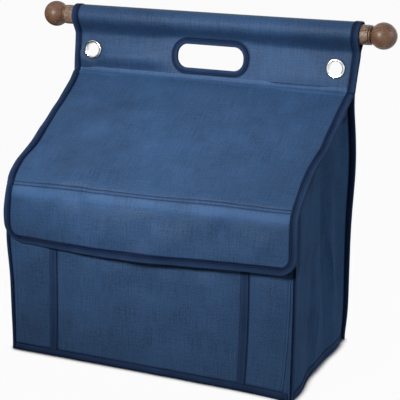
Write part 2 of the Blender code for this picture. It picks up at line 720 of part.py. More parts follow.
def make_pole(mats):
    """The pole, bored at each end, with a stud and a turned ball at each."""
    up = POLE_ABOVE_SEAM * math.cos(HEADER_LEAN) - HEADER / 2 * math.sin(HEADER_LEAN)
    axis = make_empty("pole_axis", (0, Y_SEAM + POLE_SETBACK, SEAM_HEIGHT + up), 0.0)
    end = POLE_LENGTH / 2
    bore = STUD_RADIUS + GAP
    deep = end - STUD_IN_POLE - GAP
    half = [(POLE_RADIUS, end - POLE_CHAMFER), (POLE_RADIUS - POLE_CHAMFER, end)]
    half += [(bore, end), (bore, deep), (0, deep)]
    outline = [(r, -d) for r, d in reversed(half)] + half
    turned("pole", outline, (1, 0, 0), POLE_STEPS, mats["wood"], axis)
    for side, word in ((-1, "left"), (1, "right")):
        make_finial(mats, axis, side, word, end)


def make_finial(mats, axis, side, word, end):
    outward = Vector((side, 0, 0))
    bore = STUD_RADIUS + GAP
    collar = COLLAR_LENGTH
    neck = collar + NECK_LENGTH
    ball_cut = math.asin(NECK_RADIUS / BALL_RADIUS)
    centre = neck + BALL_RADIUS * math.cos(ball_cut)
    deep = STUD_IN_BALL + 2 * GAP
    outline = [(0, deep), (bore, deep), (bore, 0), (COLLAR_RADIUS, 0), (COLLAR_RADIUS, collar)]
    outline += [(NECK_RADIUS, collar)]
    ball = arc_points((centre, 0), BALL_RADIUS, math.pi - ball_cut, 0, BALL_STEPS)
    outline += [(radius, along) for along, radius in ball[:-1]]
    outline.append((0, centre + BALL_RADIUS))
    finial = turned(f"finial_{word}", outline, outward, TURNED_STEPS, mats["wood"], axis)
    finial.location = outward * (end + GAP)
    low, high = -STUD_IN_POLE, STUD_IN_BALL
    rod = [(0, low), (STUD_RADIUS, low), (STUD_RADIUS, high), (0, high)]
    stud = turned(f"stud_{word}", rod, outward, STUD_STEPS, mats["steel"], axis)
    stud.location = outward * (end + GAP)


def main():
    clear_scene()
    mats = {
        "cloth": make_material("navy_cloth", (0.055, 0.105, 0.205), 0.75),
        "lining": make_material("dark_lining", (0.022, 0.030, 0.055), 0.85),
        "binding": make_material("navy_binding", (0.022, 0.035, 0.085), 0.7),
        "board": make_material("stiffening_board", (0.55, 0.55, 0.53), 0.6),
        "closure": make_material("hook_and_loop", (0.015, 0.018, 0.030), 0.95),
        "nickel": make_material("nickel_plate", (0.75, 0.75, 0.74), 0.2, 1.0),
        "steel": make_material("stud_steel", (0.55, 0.55, 0.56), 0.35, 1.0),
        "wood": make_material("walnut_stain", (0.20, 0.105, 0.065), 0.45),
    }
    front = make_empty("front_plane", (0, Y_FRONT, 0), -LEAN)
    header = make_empty("header_plane", (0, Y_SEAM, SEAM_HEIGHT), -HEADER_LEAN)
    lid = make_empty("lid_hinge", (0, *LID_AXIS), SLOPE)
    reach = LID_RUN - FOLD_TANGENT + FOLD_RADIUS * math.sin(FOLD_TURN / 2)
    sink = FOLD_RADIUS * (1 - math.cos(FOLD_TURN / 2))
    flap = make_empty("flap_hinge", (0, -reach, -sink), -SLOPE - LEAN, lid)
    make_back_wall(mats)
    make_front_wall(mats, front)
    make_gussets(mats)
    make_base(mats)
    make_hems(mats, front)
    make_header(mats, header)
    make_lid(mats, lid)
    make_flap(mats, flap)
    make_pocket(mats, front)
    make_loop_strip(mats, front)
    make_pole(mats)


main()
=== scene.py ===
"""Looks of a stiffened cloth grooming bag with a wooden hanging pole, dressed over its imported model.

Metres, +Z up, front towards -Y. Each cloth piece is a thin closed sheet over a grid, placed by a
function of (across, along). The weave follows distances measured on the sheet, so it keeps one scale.
"""

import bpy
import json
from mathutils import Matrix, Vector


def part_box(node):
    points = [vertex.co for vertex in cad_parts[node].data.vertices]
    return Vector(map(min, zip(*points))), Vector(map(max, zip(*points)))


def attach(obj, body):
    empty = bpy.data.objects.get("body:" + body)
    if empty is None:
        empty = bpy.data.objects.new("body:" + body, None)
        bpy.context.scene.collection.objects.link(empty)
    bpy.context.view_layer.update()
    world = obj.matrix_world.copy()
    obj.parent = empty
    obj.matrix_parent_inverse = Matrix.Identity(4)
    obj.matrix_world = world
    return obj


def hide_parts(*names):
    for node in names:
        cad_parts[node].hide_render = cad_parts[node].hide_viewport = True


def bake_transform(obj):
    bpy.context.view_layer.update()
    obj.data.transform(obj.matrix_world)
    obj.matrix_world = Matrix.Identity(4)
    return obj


bl_info = {
    "name": "Grooming bag dresser",
    "version": (1, 0, 0),
    "blender": (4, 5, 0),
    "location": "3D View > Sidebar > Bag",
    "description": "Builds the cloth, tape, stitches, wood and metal of a grooming bag over its frame",
    "category": "Add Mesh",
}

import functools
import json
import math

import bmesh
import bpy
import numpy as np
from mathutils import Euler, Matrix, Vector

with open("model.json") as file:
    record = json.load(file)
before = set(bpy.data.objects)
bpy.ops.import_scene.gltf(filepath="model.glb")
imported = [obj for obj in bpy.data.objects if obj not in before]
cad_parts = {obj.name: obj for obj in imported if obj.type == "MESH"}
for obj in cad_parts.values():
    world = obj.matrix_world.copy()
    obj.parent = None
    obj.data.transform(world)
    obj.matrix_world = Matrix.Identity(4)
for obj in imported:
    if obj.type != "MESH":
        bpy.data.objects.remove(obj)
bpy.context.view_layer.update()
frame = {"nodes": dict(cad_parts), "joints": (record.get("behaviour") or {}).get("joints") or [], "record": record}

NODES = frame["nodes"]
JOINTS = {joint["name"]: joint for joint in frame["joints"]}
MOUNTS = {mount["name"]: mount for mount in frame["record"]["mounts"]}
SIDES = {"left": -1, "right": 1}


def face_normal(node):
    """The normal of a plate's largest face."""
    return max(NODES[node].data.polygons, key=lambda face: face.area).normal


def low(node):
    """The least corner of a node's box."""
    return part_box(node)[0]


def high(node):
    """The greatest corner of a node's box."""
    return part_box(node)[1]


# Places read from the frame
SEAM_Y, SEAM_Z = JOINTS["lid_hinge"]["pos_m"][1:]
FOLD_Y, FOLD_Z = JOINTS["flap_fold"]["pos_m"][1:]
LID_NORMAL = face_normal("lid_board")
SLOPE = math.atan2(abs(LID_NORMAL.y), abs(LID_NORMAL.z))
FRONT_NORMAL = face_normal("front_cloth")
LEAN = math.atan2(abs(FRONT_NORMAL.z), abs(FRONT_NORMAL.y))
WASHER_AXIS = MOUNTS["eyelet_left_washer"]["axis"]
HEADER_LEAN = math.atan2(-WASHER_AXIS[2], WASHER_AXIS[1])
BODY_HALF = high("gusset_cloth_right").x
LID_HALF = high("lid_cloth").x
SLEEVE_HALF = high("header_sleeve").x
BACK_Y = high("back_cloth").y
BACK_TOP = high("back_cloth").z
BACK_TOP_HALF = high("back_cloth").x
FRONT_Y = low("front_cloth").y
FRONT_TOP = high("front_cloth").z
FLAP_FOOT_Z = low("flap_cloth").z
POCKET_MOUTH = high("pocket_cloth").z
POCKET_HALF = high("pocket_cloth").x
HEM_TOP = high("hem_front").z
DIVIDER_X = (low("pocket_tape_right").x + high("pocket_tape_right").x) / 2
SIDE_BACK_Y = high("gusset_cloth_right").y
POLE_CENTRE = (low("pole") + high("pole")) / 2
POLE_RADIUS = (high("pole").z - low("pole").z) / 2
POLE_HALF = high("pole").x
BALL_RADIUS = (high("finial_right").z - low("finial_right").z) / 2
EYELETS = {word: (low(f"eyelet_{word}") + high(f"eyelet_{word}")) / 2 for word in SIDES}

# The frame doesn't hold the sizes from here on by themselves
# Thickness with every layer: of the front, back and lid, of a side wall, and of the header
STACK = 0.0036
GUSSET_STACK = 0.0018
HEADER_STACK = 0.0051

# Air between pieces that lie on each other, and between the hinge line and the cloth beside it
AIR = 0.0003
HINGE_GAP = 0.0012

# The fold between lid and flap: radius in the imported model, and the softer one that is shown
FOLD_RADIUS = 0.022
SOFT_FOLD_RADIUS = 0.042

# The flap: how far out it hangs, how far it slips askew, and the radius of its lower corners
FLAP_OUT = 0.006
SKEW = 0.016
FLAP_CORNER = 0.028

# The hand hole: half its width and height, its corners' radius, and its middle's height over the seam
HAND_HOLE_HALF = (0.060, 0.0205)
HAND_HOLE_CORNER = 0.0185
HAND_HOLE_UP = 0.0365

# How far over the seam the header's layers part: behind the hand hole, and at the looser sides
HEADER_MERGE = 0.066
LOOSE_MERGE = 0.062

# How far the header's outer face stands off the pole
AROUND_POLE = 0.0028

# The eyelets: radius of the hole and of the rim, and the barrel's wall
EYELET_BORE = 0.0115
EYELET_RIM = 0.0156
EYELET_WALL = 0.0008

# The foot of the box: half the back's width there, and what walls, front wall and tapes leave below them
BACK_FOOT_HALF = 0.2446
CLEAR_OF_FLOOR = 0.0003
FRONT_CLEAR_OF_FLOOR = 0.0014
FOOT = 2 * AIR

# Widths of tape: each leg at a front corner, and half a pocket divider's
CORNER_REACH = 0.006
DIVIDER_TAPE_HALF = 0.0059

# Thickness of the header's one cloth and of a closure strip
HEADER_CLOTH = 0.0014
CLOSURE_STRIP = 0.0008

# Radius of the holes that take the studs, and the steps round the pole and the balls
STUD_BORE = 0.0033
TURNED_STEPS = 96

# Rows of stitches, as distances from the edge or line that they follow
OUTER_ROW = 0.0016
INNER_ROW = 0.0042
HEM_ROWS = (0.0014, 0.0042)
HEADER_SEAM_ROW = 0.0045
POCKET_SIDE_ROW = 0.003

# Roughly a side wall's width and height, for what is drawn or sewn on it
SIDE_WIDE = 0.24
SIDE_TALL = 0.33


def length(name, text, default):
    """A size that the user can change."""
    return bpy.props.FloatProperty(name=name, description=text, default=default, unit="LENGTH", precision=5)


def angle(name, text, degrees):
    """An angle that the user can change."""
    default = math.radians(degrees)
    return bpy.props.FloatProperty(name=name, description=text, default=default, subtype="ANGLE")


def number(name, text, default):
    """A plain number that the user can change."""
    return bpy.props.FloatProperty(name=name, description=text, default=default)


def colour(name, text, default):
    """A colour that the user can change."""
    return bpy.props.FloatVectorProperty(
        name=name, description=text, default=default, size=3, subtype="COLOR", min=0.0, max=1.0
    )


class BagSizes(bpy.types.PropertyGroup):
    """Sizes of cloth, tape and thread, and how far the pieces sag, bow and slip"""

    cloth: length("Cloth", "Thickness of the outer cloth", 0.0009)
    lining: length("Lining", "Thickness of the lining", 0.0006)
    tape: length("Tape", "Thickness of the binding tape", 0.0007)
    tape_reach: length("Tape reach", "Width of binding tape that shows on a face", 0.0105)
    hole_tape_reach: length("Hand hole tape", "Width of the tape round the hand hole", 0.0085)
    stitch_pitch: length("Stitch pitch", "Distance from one stitch to the next", 0.0036)
    stitch_length: length("Stitch length", "Length of thread that shows in one stitch", 0.0026)
    thread: length("Thread", "Thickness of the sewing thread", 0.0006)
    weave: length("Weave", "Distance between neighbouring yarns of the cloth", 0.0009)
    gusset_sag: length("Gusset sag", "How far a side wall draws in at its middle", 0.0065)
    pocket_fullness: length("Pocket fullness", "How far the pocket stands off at its middle", 0.0042)
    lid_wave: length("Lid waves", "Height of the broad waves in the lid", 0.0022)
    flap_bow: length("Flap bow", "How far the flap's foot hangs below its corners", 0.0055)
    header_shift: length("Header shift", "How far the sleeve has slid to the right", 0.0035)


class BagColours(bpy.types.PropertyGroup):
    """Colours of the materials and the floor"""

    cloth: colour("Cloth", "Colour of the outer cloth", (0.0250, 0.0590, 0.1300))
    tape: colour("Tape", "Colour of the binding tape", (0.0170, 0.0345, 0.0800))
    lining: colour("Lining", "Colour of the lining", (0.018, 0.026, 0.052))
    thread: colour("Thread", "Colour of the sewing thread", (0.022, 0.050, 0.118))
    closure: colour("Closure", "Colour of the hook and loop strips", (0.012, 0.016, 0.030))
    ball_wood: colour("Ball wood", "Colour of the stained balls", (0.182, 0.090, 0.048))
    pole_wood: colour("Pole wood", "Colour of the pole's wood", (0.281, 0.188, 0.128))
    wood_grain: colour("Wood grain", "Colour of the dark grain lines", (0.040, 0.016, 0.009))
    nickel: colour("Nickel", "Colour of the plated eyelets", (0.74, 0.74, 0.73))
    floor: colour("Floor", "Colour of the floor", (0.40, 0.40, 0.40))


class BagStudio(bpy.types.PropertyGroup):
    """Camera, backdrop and lights"""

    camera_place: bpy.props.FloatVectorProperty(
        name="Camera", description="Where the camera stands", default=(0.9545, -2.0144, 0.9074), subtype="XYZ"
    )
    camera_yaw: angle("Yaw", "Turn of the camera to the left", 24.607)
    camera_pitch: angle("Pitch", "Tilt of the camera downwards", 16.635)
    camera_roll: angle("Roll", "Roll of the camera", -0.468)
    lens: number("Lens", "Focal length in millimetres", 130.6)
    ambient: number("Ambient", "Strength of the even light", 0.09)
    background: number("Background", "White of the backdrop", 1.0)
    key_power: number("Key", "Power of the front light in watts", 2.50)
    top_power: number("Top", "Power of the top light in watts", 0.20)
    side_power: number("Side", "Power of the right light in watts", 1.76)
    back_power: number("Back", "Power of the back and left lights in watts", 1.6)


# Names of the layers that the pieces carry for their materials
WEAVE_MAP = "Weave"
WEAR_AND_HIGHLIGHT = "worn"
PAINTED_SHADE = "sewn"


class Value:
    """An output of a shader node. Arithmetic on it adds the Math nodes that work it out."""

    def __init__(self, nodes, output):
        self.nodes = nodes
        self.output = output

    def beside(self, name):
        """Another output of the same node."""
        return Value(self.nodes, self.output.node.outputs[name])

    def math(self, operation, *values):
        """The output of a Math node with those inputs."""
        return self.nodes.node("ShaderNodeMath", {"operation": operation}, dict(enumerate(values)))

    def __add__(self, other):
        return self.math("ADD", self, other)

    def __sub__(self, other):
        return self.math("SUBTRACT", self, other)

    def __rsub__(self, other):
        return self.math("SUBTRACT", other, self)

    def __mul__(self, other):
        return self.math("MULTIPLY", self, other)

    def sine(self):
        return self.math("SINE", self)

    def above(self, least, most):
        """0 at the least value, 1 at the most, and even in between."""
        settings = {"clamp": True}
        inputs = {"Value": self, "From Min": least, "From Max": most}
        return self.nodes.node("ShaderNodeMapRange", settings, inputs)

    __radd__ = __add__
    __rmul__ = __mul__


class Nodes:
    """A node tree, with one method that adds any node to it."""

    def __init__(self, tree):
        self.tree = tree

    def node(self, kind, settings=None, inputs=None, output=0):
        """Adds a node with its settings and the values or links of its sockets."""
        made = self.tree.nodes.new(kind)
        for name, value in (settings or {}).items():
            setattr(made, name, value)
        for socket, value in (inputs or {}).items():
            self.plug(made.inputs[socket], value)
        return Value(self, made.outputs[output])

    def plug(self, socket, value):
        """Links a value to a socket, or sets the socket to a plain number, vector or colour."""
        if isinstance(value, Value):
            self.tree.links.new(value.output, socket)
        elif hasattr(value, "__len__") and len(value) == 3 and socket.type == "RGBA":
            socket.default_value = (*value, 1.0)
        else:
            socket.default_value = value

    def mix(self, factor, first, second):
        """A colour between two colours."""
        settings = {"data_type": "RGBA", "clamp_factor": True}
        return self.node("ShaderNodeMix", settings, {0: factor, 6: first, 7: second}, 2)

    def noise(self, where, scale, detail=3.0, roughness=0.5):
        """Smooth noise at a place, finer with a larger scale."""
        inputs = {"Vector": where, "Scale": scale, "Detail": detail, "Roughness": roughness}
        return self.node("ShaderNodeTexNoise", None, inputs)

    def place(self):
        """The piece's own coordinates, which are the frame's at rest."""
        return self.node("ShaderNodeTexCoord", None, None, "Object")

    def stretched(self, where, scale):
        """A place with each of its coordinates times its own scale."""
        settings = {"operation": "MULTIPLY"}
        return self.node("ShaderNodeVectorMath", settings, {0: where, 1: scale})

    def shown(self):
        """1 for rays that should see the backdrop's white: from the camera, a mirror or glass."""
        camera = self.node("ShaderNodeLightPath", None, None, "Is Camera Ray")
        seen = camera + camera.beside("Is Glossy Ray") + camera.beside("Is Transmission Ray")
        return seen.above(0.0, 1.0)


class Finish(Nodes):
    """A material with its nodes and its Principled shader. Constants are set on the shader's sockets."""

    def __init__(self, name, **constants):
        self.material = bpy.data.materials.new(name)
        self.material.use_nodes = True
        super().__init__(self.material.node_tree)
        self.shader = self.tree.nodes["Principled BSDF"]
        self.shade(**constants)

    def shade(self, **values):
        """Links or sets the shader's own sockets."""
        for socket, value in values.items():
            self.plug(self.shader.inputs[socket.replace("_", " ")], value)

    def yarns(self):
        """The cloth's own coordinates in metres: as a vector, and the distances across and along."""
        where = self.node("ShaderNodeUVMap", {"uv_map": WEAVE_MAP})
        across = self.node("ShaderNodeSeparateXYZ", None, {0: where})
        return where, across, across.beside(1)

    def worn(self):
        """How near a point is to an edge that wears pale, or how much painted highlight it takes along the lid's
        fold, from 0 to 1.
        """
        return self.node("ShaderNodeAttribute", {"attribute_name": WEAR_AND_HIGHLIGHT}, None, "Fac")

    def sewn(self):
        """How much painted shade a point takes, from 0 to 1: in stitched grooves and edges, in hollows and under
        overhangs.
        """
        return self.node("ShaderNodeAttribute", {"attribute_name": PAINTED_SHADE}, None, "Fac")

    def bump(self, height, depth, strength=1.0):
        """A normal that follows a height, for relief too fine to model."""
        inputs = {"Height": height, "Distance": depth, "Strength": strength}
        return self.node("ShaderNodeBump", None, inputs)


def lighter(tint, factor):
    """A tint times a factor, and no brighter than white."""
    return tuple(min(1.0, channel * factor) for channel in tint)


def painted_shade_colour(tint):
    """The painted shade colour of cloth or tape in a seam, hollow or shadow, which is dark but stays blue."""
    return tuple(channel * share for channel, share in zip(tint, (0.02, 0.09, 0.24)))


def woven(name, tint, pitch, gloss=0.02, contrast=0.16, bump=0.00022):
    """Plain-woven polyester: a fine grid of yarns, uneven dye, pale wear along edges, a painted highlight along
    the lid's fold, and painted shade in seams and hollows.
    """
    finish = Finish(name, Specular_IOR_Level=gloss)
    where, across, along = finish.yarns()
    turn = math.pi / pitch
    grid = (across * turn).sine() * (along * turn).sine()
    cloudy = finish.noise(finish.place(), 14.0, 5.0, 0.62)
    warp = finish.noise(finish.stretched(where, (620.0, 26.0, 0.0)), 1.0, 2.0)
    weft = finish.noise(finish.stretched(where, (34.0, 560.0, 0.0)), 1.0, 2.0)
    speckle = finish.noise(finish.stretched(where, (430.0, 430.0, 0.0)), 1.0, 2.0)
    yarn = warp * 0.36 + weft * 0.24 + speckle * 0.52 + grid * 0.05
    # Edge wear lightens the colour, and so does the painted highlight along the lid's fold.
    shade = cloudy * 0.42 + yarn + finish.worn() * contrast * 1.6
    toned = finish.mix(shade.above(0.44, 1.06), lighter(tint, 0.36), lighter(tint, 1.85))
    # Painted shade darkens the colour in seams, hollows and shadowed places.
    finish.shade(Base_Color=finish.mix(finish.sewn() * 0.92, toned, painted_shade_colour(tint)))
    finish.shade(Roughness=cloudy * 0.16 + finish.worn() * 0.06 + 0.42)
    finish.shade(Normal=finish.bump(yarn + grid * 0.3, bump, 0.7))
    return finish.material


def ribbed_tape(name, tint, rib):
    """Binding tape: close cross ribs, with the folded edge rubbed paler."""
    finish = Finish(name, Specular_IOR_Level=0.02)
    where, _, along = finish.yarns()
    ribs = (along * (2 * math.pi / rib)).sine()
    fuzz = finish.noise(finish.stretched(where, (900.0, 900.0, 0.0)), 1.0, 2.0)
    cloudy = finish.noise(finish.place(), 26.0, 3.0)
    shade = cloudy * 0.5 + fuzz * 0.35 + ribs * 0.08 + finish.worn() * 0.30
    toned = finish.mix(shade.above(0.22, 0.95), lighter(tint, 0.62), lighter(tint, 1.95))
    # Painted shade along the tape's inner edge and its stitch row.
    finish.shade(Base_Color=finish.mix(finish.sewn() * 0.84, toned, painted_shade_colour(tint)))
    finish.shade(Roughness=fuzz * 0.2 + 0.55)
    finish.shade(Normal=finish.bump(ribs * 0.5 + fuzz * 0.5, 0.00018, 0.6))
    return finish.material


def twisted_thread(name, tint):
    """Sewing thread with the slant of its twist."""
    finish = Finish(name, Specular_IOR_Level=0.04, Roughness=0.5)
    _, across, along = finish.yarns()
    twist = ((across + along) * 9000.0).sine()
    finish.shade(Base_Color=finish.mix(twist.above(-1.0, 1.0), lighter(tint, 0.75), lighter(tint, 1.2)))
    finish.shade(Normal=finish.bump(twist, 0.00008, 0.6))
    return finish.material


def fuzzy_strip(name, tint, scale):
    """The brushed loops or the stubby hooks of a closure strip."""
    finish = Finish(name, Sheen_Weight=0.35, Specular_IOR_Level=0.25, Roughness=0.85)
    tufts = finish.node("ShaderNodeTexVoronoi", None, {"Vector": finish.place(), "Scale": scale})
    fuzz = finish.noise(finish.place(), scale * 1.6, 2.0)
    shade = tufts * 0.6 + fuzz * 0.5
    finish.shade(Base_Color=finish.mix(shade.above(0.2, 0.9), lighter(tint, 1.7), lighter(tint, 0.6)))
    finish.shade(Normal=finish.bump(fuzz - tufts, 0.0006, 0.7))
    return finish.material


def stained_wood(name, tint, grain):
    """Turned hardwood with its grain along X: long streaks, pores and a satin coat."""
    finish = Finish(name, Specular_IOR_Level=0.45, Coat_Roughness=0.22)
    inputs = {"Vector": finish.place(), "Rotation": (0.0, 0.5, 0.35)}
    place = finish.node("ShaderNodeMapping", None, inputs)
    drawn = finish.stretched(place, (9.0, 75.0, 75.0))
    bend = finish.noise(drawn, 1.0, 3.0)
    streaks = finish.noise(finish.stretched(place, (16.0, 330.0, 330.0)), 1.0, 3.0)
    rings = ((bend * 30.0) + finish.noise(drawn, 0.35, 2.0) * 18.0).sine()
    pores = finish.noise(finish.stretched(place, (110.0, 1500.0, 1500.0)), 1.0, 2.0)
    figure = finish.mix(rings.above(-0.2, 1.1) * 0.50, tint, grain)
    lined = finish.mix(streaks.above(0.48, 0.62) * 0.85, figure, grain)
    dark = finish.mix(pores.above(0.54, 0.70) * 0.50, lined, grain)
    finish.shade(Base_Color=finish.mix(bend.above(0.40, 0.70) * 0.55, dark, lighter(tint, 1.30)))
    finish.shade(Roughness=pores * 0.20 + 0.36)
    finish.shade(Coat_Weight=(1 - pores) * 0.30)
    finish.shade(Normal=finish.bump(pores * -0.6 + rings * 0.12, 0.00012, 0.5))
    return finish.material


def plated_metal(name, tint):
    """Bright nickel with faint brushed rings and dull patches."""
    finish = Finish(name, Metallic=1.0)
    place = finish.place()
    smudge = finish.noise(place, 180.0, 3.0)
    scratch = finish.noise(finish.stretched(place, (2600.0, 300.0, 2600.0)), 1.0, 1.0)
    finish.shade(Base_Color=finish.mix(smudge.above(0.3, 0.8), tint, lighter(tint, 0.86)))
    finish.shade(Roughness=smudge * 0.10 + scratch * 0.06 + 0.02)
    finish.shade(Normal=finish.bump(scratch, 0.00003, 0.4))
    return finish.material


@functools.cache
def finishes():
    """Every material by its plain name, made once."""
    tints = {name: tuple(getattr(bpy.context.scene.bag_colours, name)) for name in BagColours.__annotations__}
    weave = bpy.context.scene.bag_sizes.weave
    return {
        "cloth": woven("navy_cloth", tints["cloth"], weave, gloss=0.12),
        "side_cloth": woven("navy_side_cloth", tints["cloth"], weave, gloss=0.003),
        "tape": ribbed_tape("navy_tape", tints["tape"], weave),
        "lining": woven("dark_lining", tints["lining"], weave * 0.6, bump=0.0001),
        "thread": twisted_thread("navy_thread", tints["thread"]),
        "hooks": fuzzy_strip("hook_tape", tints["closure"], 900.0),
        "loops": fuzzy_strip("loop_tape", tints["closure"], 520.0),
        "ball_wood": stained_wood("walnut_balls", tints["ball_wood"], tints["wood_grain"]),
        "pole_wood": stained_wood("walnut_pole", tints["pole_wood"], tints["wood_grain"]),
        "nickel": plated_metal("nickel_plate", tints["nickel"]),
    }


def unit(vectors):
    """The same directions with length 1."""
    return vectors / np.maximum(np.linalg.norm(vectors, axis=-1, keepdims=True), 1e-12)


def drift(across, along, lump, seed):
    """Smooth noise from -1 to 1 over a plane, with lumps about that many metres wide."""
    cells = 64
    lattice = np.random.default_rng(seed).uniform(-1, 1, (cells, cells))
    u, v = across / lump + cells / 2, along / lump + cells / 2
    i, j = np.floor(u).astype(int), np.floor(v).astype(int)
    fu, fv = u - i, v - j
    fu, fv = fu * fu * (3 - 2 * fu), fv * fv * (3 - 2 * fv)

    def corner(di, dj):
        return lattice[(i + di) % cells, (j + dj) % cells]

    first = corner(0, 0) * (1 - fu) + corner(1, 0) * fu
    second = corner(0, 1) * (1 - fu) + corner(1, 1) * fu
    return first * (1 - fv) + second * fv


def near(distance, width):
    """1 on a line and fading to 0 over about that width."""
    return np.exp(-((distance / width) ** 2))


def rise(distance, width):
    """0 on a sewn line and rising smoothly to 1 over about that width."""
    return 1 - np.exp(-np.maximum(distance, 0) / width)


def arched(distance, reach):
    """1 on a line, falling along a round arch to 0 at a reach to either side."""
    return np.cos(math.pi / 2 * np.clip(distance / reach, -1, 1)) ** 2


def new_object(name, data):
    """An object of that data in the scene."""
    obj = bpy.data.objects.new(name, data)
    bpy.context.scene.collection.objects.link(obj)
    return obj


def keep(piece, slot, *nodes, body="bag_body"):
    """A piece rides its body and stands for its nodes of the frame. The slot is not used."""
    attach(piece, body)
    if nodes:
        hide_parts(*nodes)


def mesh_object(name, points, faces, weave, worn, material, sharp=40.0, sewn=None):
    """A mesh piece with its weave coordinates, its wear with painted highlight, and its painted shade."""
    mesh = bpy.data.meshes.new(name)
    mesh.from_pydata(points.reshape(-1, 3).tolist(), [], faces)
    mesh.update()
    corners = np.zeros(len(mesh.loops), np.int32)
    mesh.loops.foreach_get("vertex_index", corners)
    layer = mesh.uv_layers.new(name=WEAVE_MAP)
    layer.uv.foreach_set("vector", weave.reshape(-1, 2)[corners].astype(np.float32).ravel())
    sewn = np.zeros(len(mesh.vertices)) if sewn is None else sewn
    for title, values in ((WEAR_AND_HIGHLIGHT, worn), (PAINTED_SHADE, sewn)):
        attribute = mesh.attributes.new(title, "FLOAT", "POINT")
        attribute.data.foreach_set("value", np.asarray(values, np.float32).ravel())
    mesh.shade_smooth()
    mesh.set_sharp_from_angle(angle=math.radians(sharp))
    mesh.materials.append(material)
    return new_object(name, mesh)


def surface_normals(points):
    """Outward normals of a grid of points whose rows go along and whose columns go across."""
    return unit(np.cross(np.gradient(points, axis=1), np.gradient(points, axis=0)))


def grid_faces(rows, columns, start=0, flipped=False):
    """Quads between a grid's points, which are numbered from a start."""
    index = np.arange(rows * columns).reshape(rows, columns) + start
    quads = np.stack([index[:-1, :-1], index[:-1, 1:], index[1:, 1:], index[1:, :-1]], -1)
    quads = quads.reshape(-1, 4)
    return (quads[:, ::-1] if flipped else quads).tolist()


def rim_faces(rows, columns):
    """Quads that close the edge between a grid's outer and inner faces."""
    index = np.arange(rows * columns).reshape(rows, columns)
    ring = [int(i) for i in (*index[0], *index[1:, -1], *index[-1, -2::-1], *index[-2:0:-1, 0])]
    shift = rows * columns
    return [(a + shift, b + shift, b, a) for a, b in zip(ring, ring[1:] + ring[:1])]


def sheet(name, place, across, along, thickness, material, depth=0.0, rubbed=None, sewn=None, plain=False):
    """A sheet of cloth over a grid. place(across, along) is its outer face, or the face a depth above it.

    rubbed gives a painted highlight and sewn gives painted shade, at (across, along). plain leaves the edges
    unworn.
    """
    a, b = np.meshgrid(across, along)
    points = np.stack(np.broadcast_arrays(*place(a, b)), -1).astype(float)
    normals = surface_normals(points)
    outer = points - normals * depth
    inner = outer - normals * thickness
    steps = np.linalg.norm(np.diff(points, axis=1), axis=-1)
    u = np.concatenate([np.zeros((len(along), 1)), np.cumsum(steps, axis=1)], axis=1)
    u -= u[:, -1:] / 2
    climbs = np.linalg.norm(np.diff(points, axis=0), axis=-1).mean(1)
    v = np.concatenate([[0.0], np.cumsum(climbs)])[:, None] + np.zeros_like(u)
    edge = np.minimum(np.minimum(u - u[:, :1], u[:, -1:] - u), np.minimum(v - v[:1], v[-1:] - v))
    worn = np.zeros_like(u) if plain else np.exp(-edge / 0.004)
    # The painted highlight, where one is given, joins the edge wear.
    if rubbed is not None:
        worn = np.maximum(worn, rubbed(a, b))
    painted_shade_map = np.zeros_like(u) if sewn is None else np.clip(sewn(a, b) + 0 * u, 0, 1)
    rows, columns = a.shape
    faces = grid_faces(rows, columns) + grid_faces(rows, columns, rows * columns, True)
    faces += rim_faces(rows, columns)
    weave = np.stack([u, v], -1)
    both = np.concatenate([outer.reshape(-1, 3), inner.reshape(-1, 3)])
    twice = [np.concatenate([layer.ravel()] * 2) for layer in (worn, painted_shade_map)]
    weave = np.concatenate([weave.reshape(-1, 2)] * 2)
    return mesh_object(name, both, faces, weave, twice[0], material, sewn=twice[1])


def refined(values, *lines, reach=0.003, step=0.0005):
    """Grid values with extra ones close to a few lines, so that a sewn groove comes out crisp."""
    extra = [line + np.arange(-reach, reach + step / 2, step) for line in lines]
    merged = np.unique(np.round(np.concatenate([values, *extra]), 6))
    merged = merged[(merged >= values.min()) & (merged <= values.max())]
    return merged[np.concatenate([[True], np.diff(merged) > step * 0.4])]


def frames_on(place, route, depth, closed=False):
    """(points, tangents, normals) along a route of (across, along) pairs on a surface."""
    route = np.asarray(route, float)
    step = 1e-4
    a, b = route[:, 0], route[:, 1]

    def at(a, b):
        return np.stack(np.broadcast_arrays(*place(a, b)), -1).astype(float)

    points = at(a, b)
    normals = unit(np.cross(at(a + step, b) - at(a - step, b), at(a, b + step) - at(a, b - step)))
    if closed:
        tangents = unit(np.roll(points, -1, 0) - np.roll(points, 1, 0))
    else:
        tangents = unit(np.gradient(points, axis=0))
    return points - normals * depth, tangents, normals


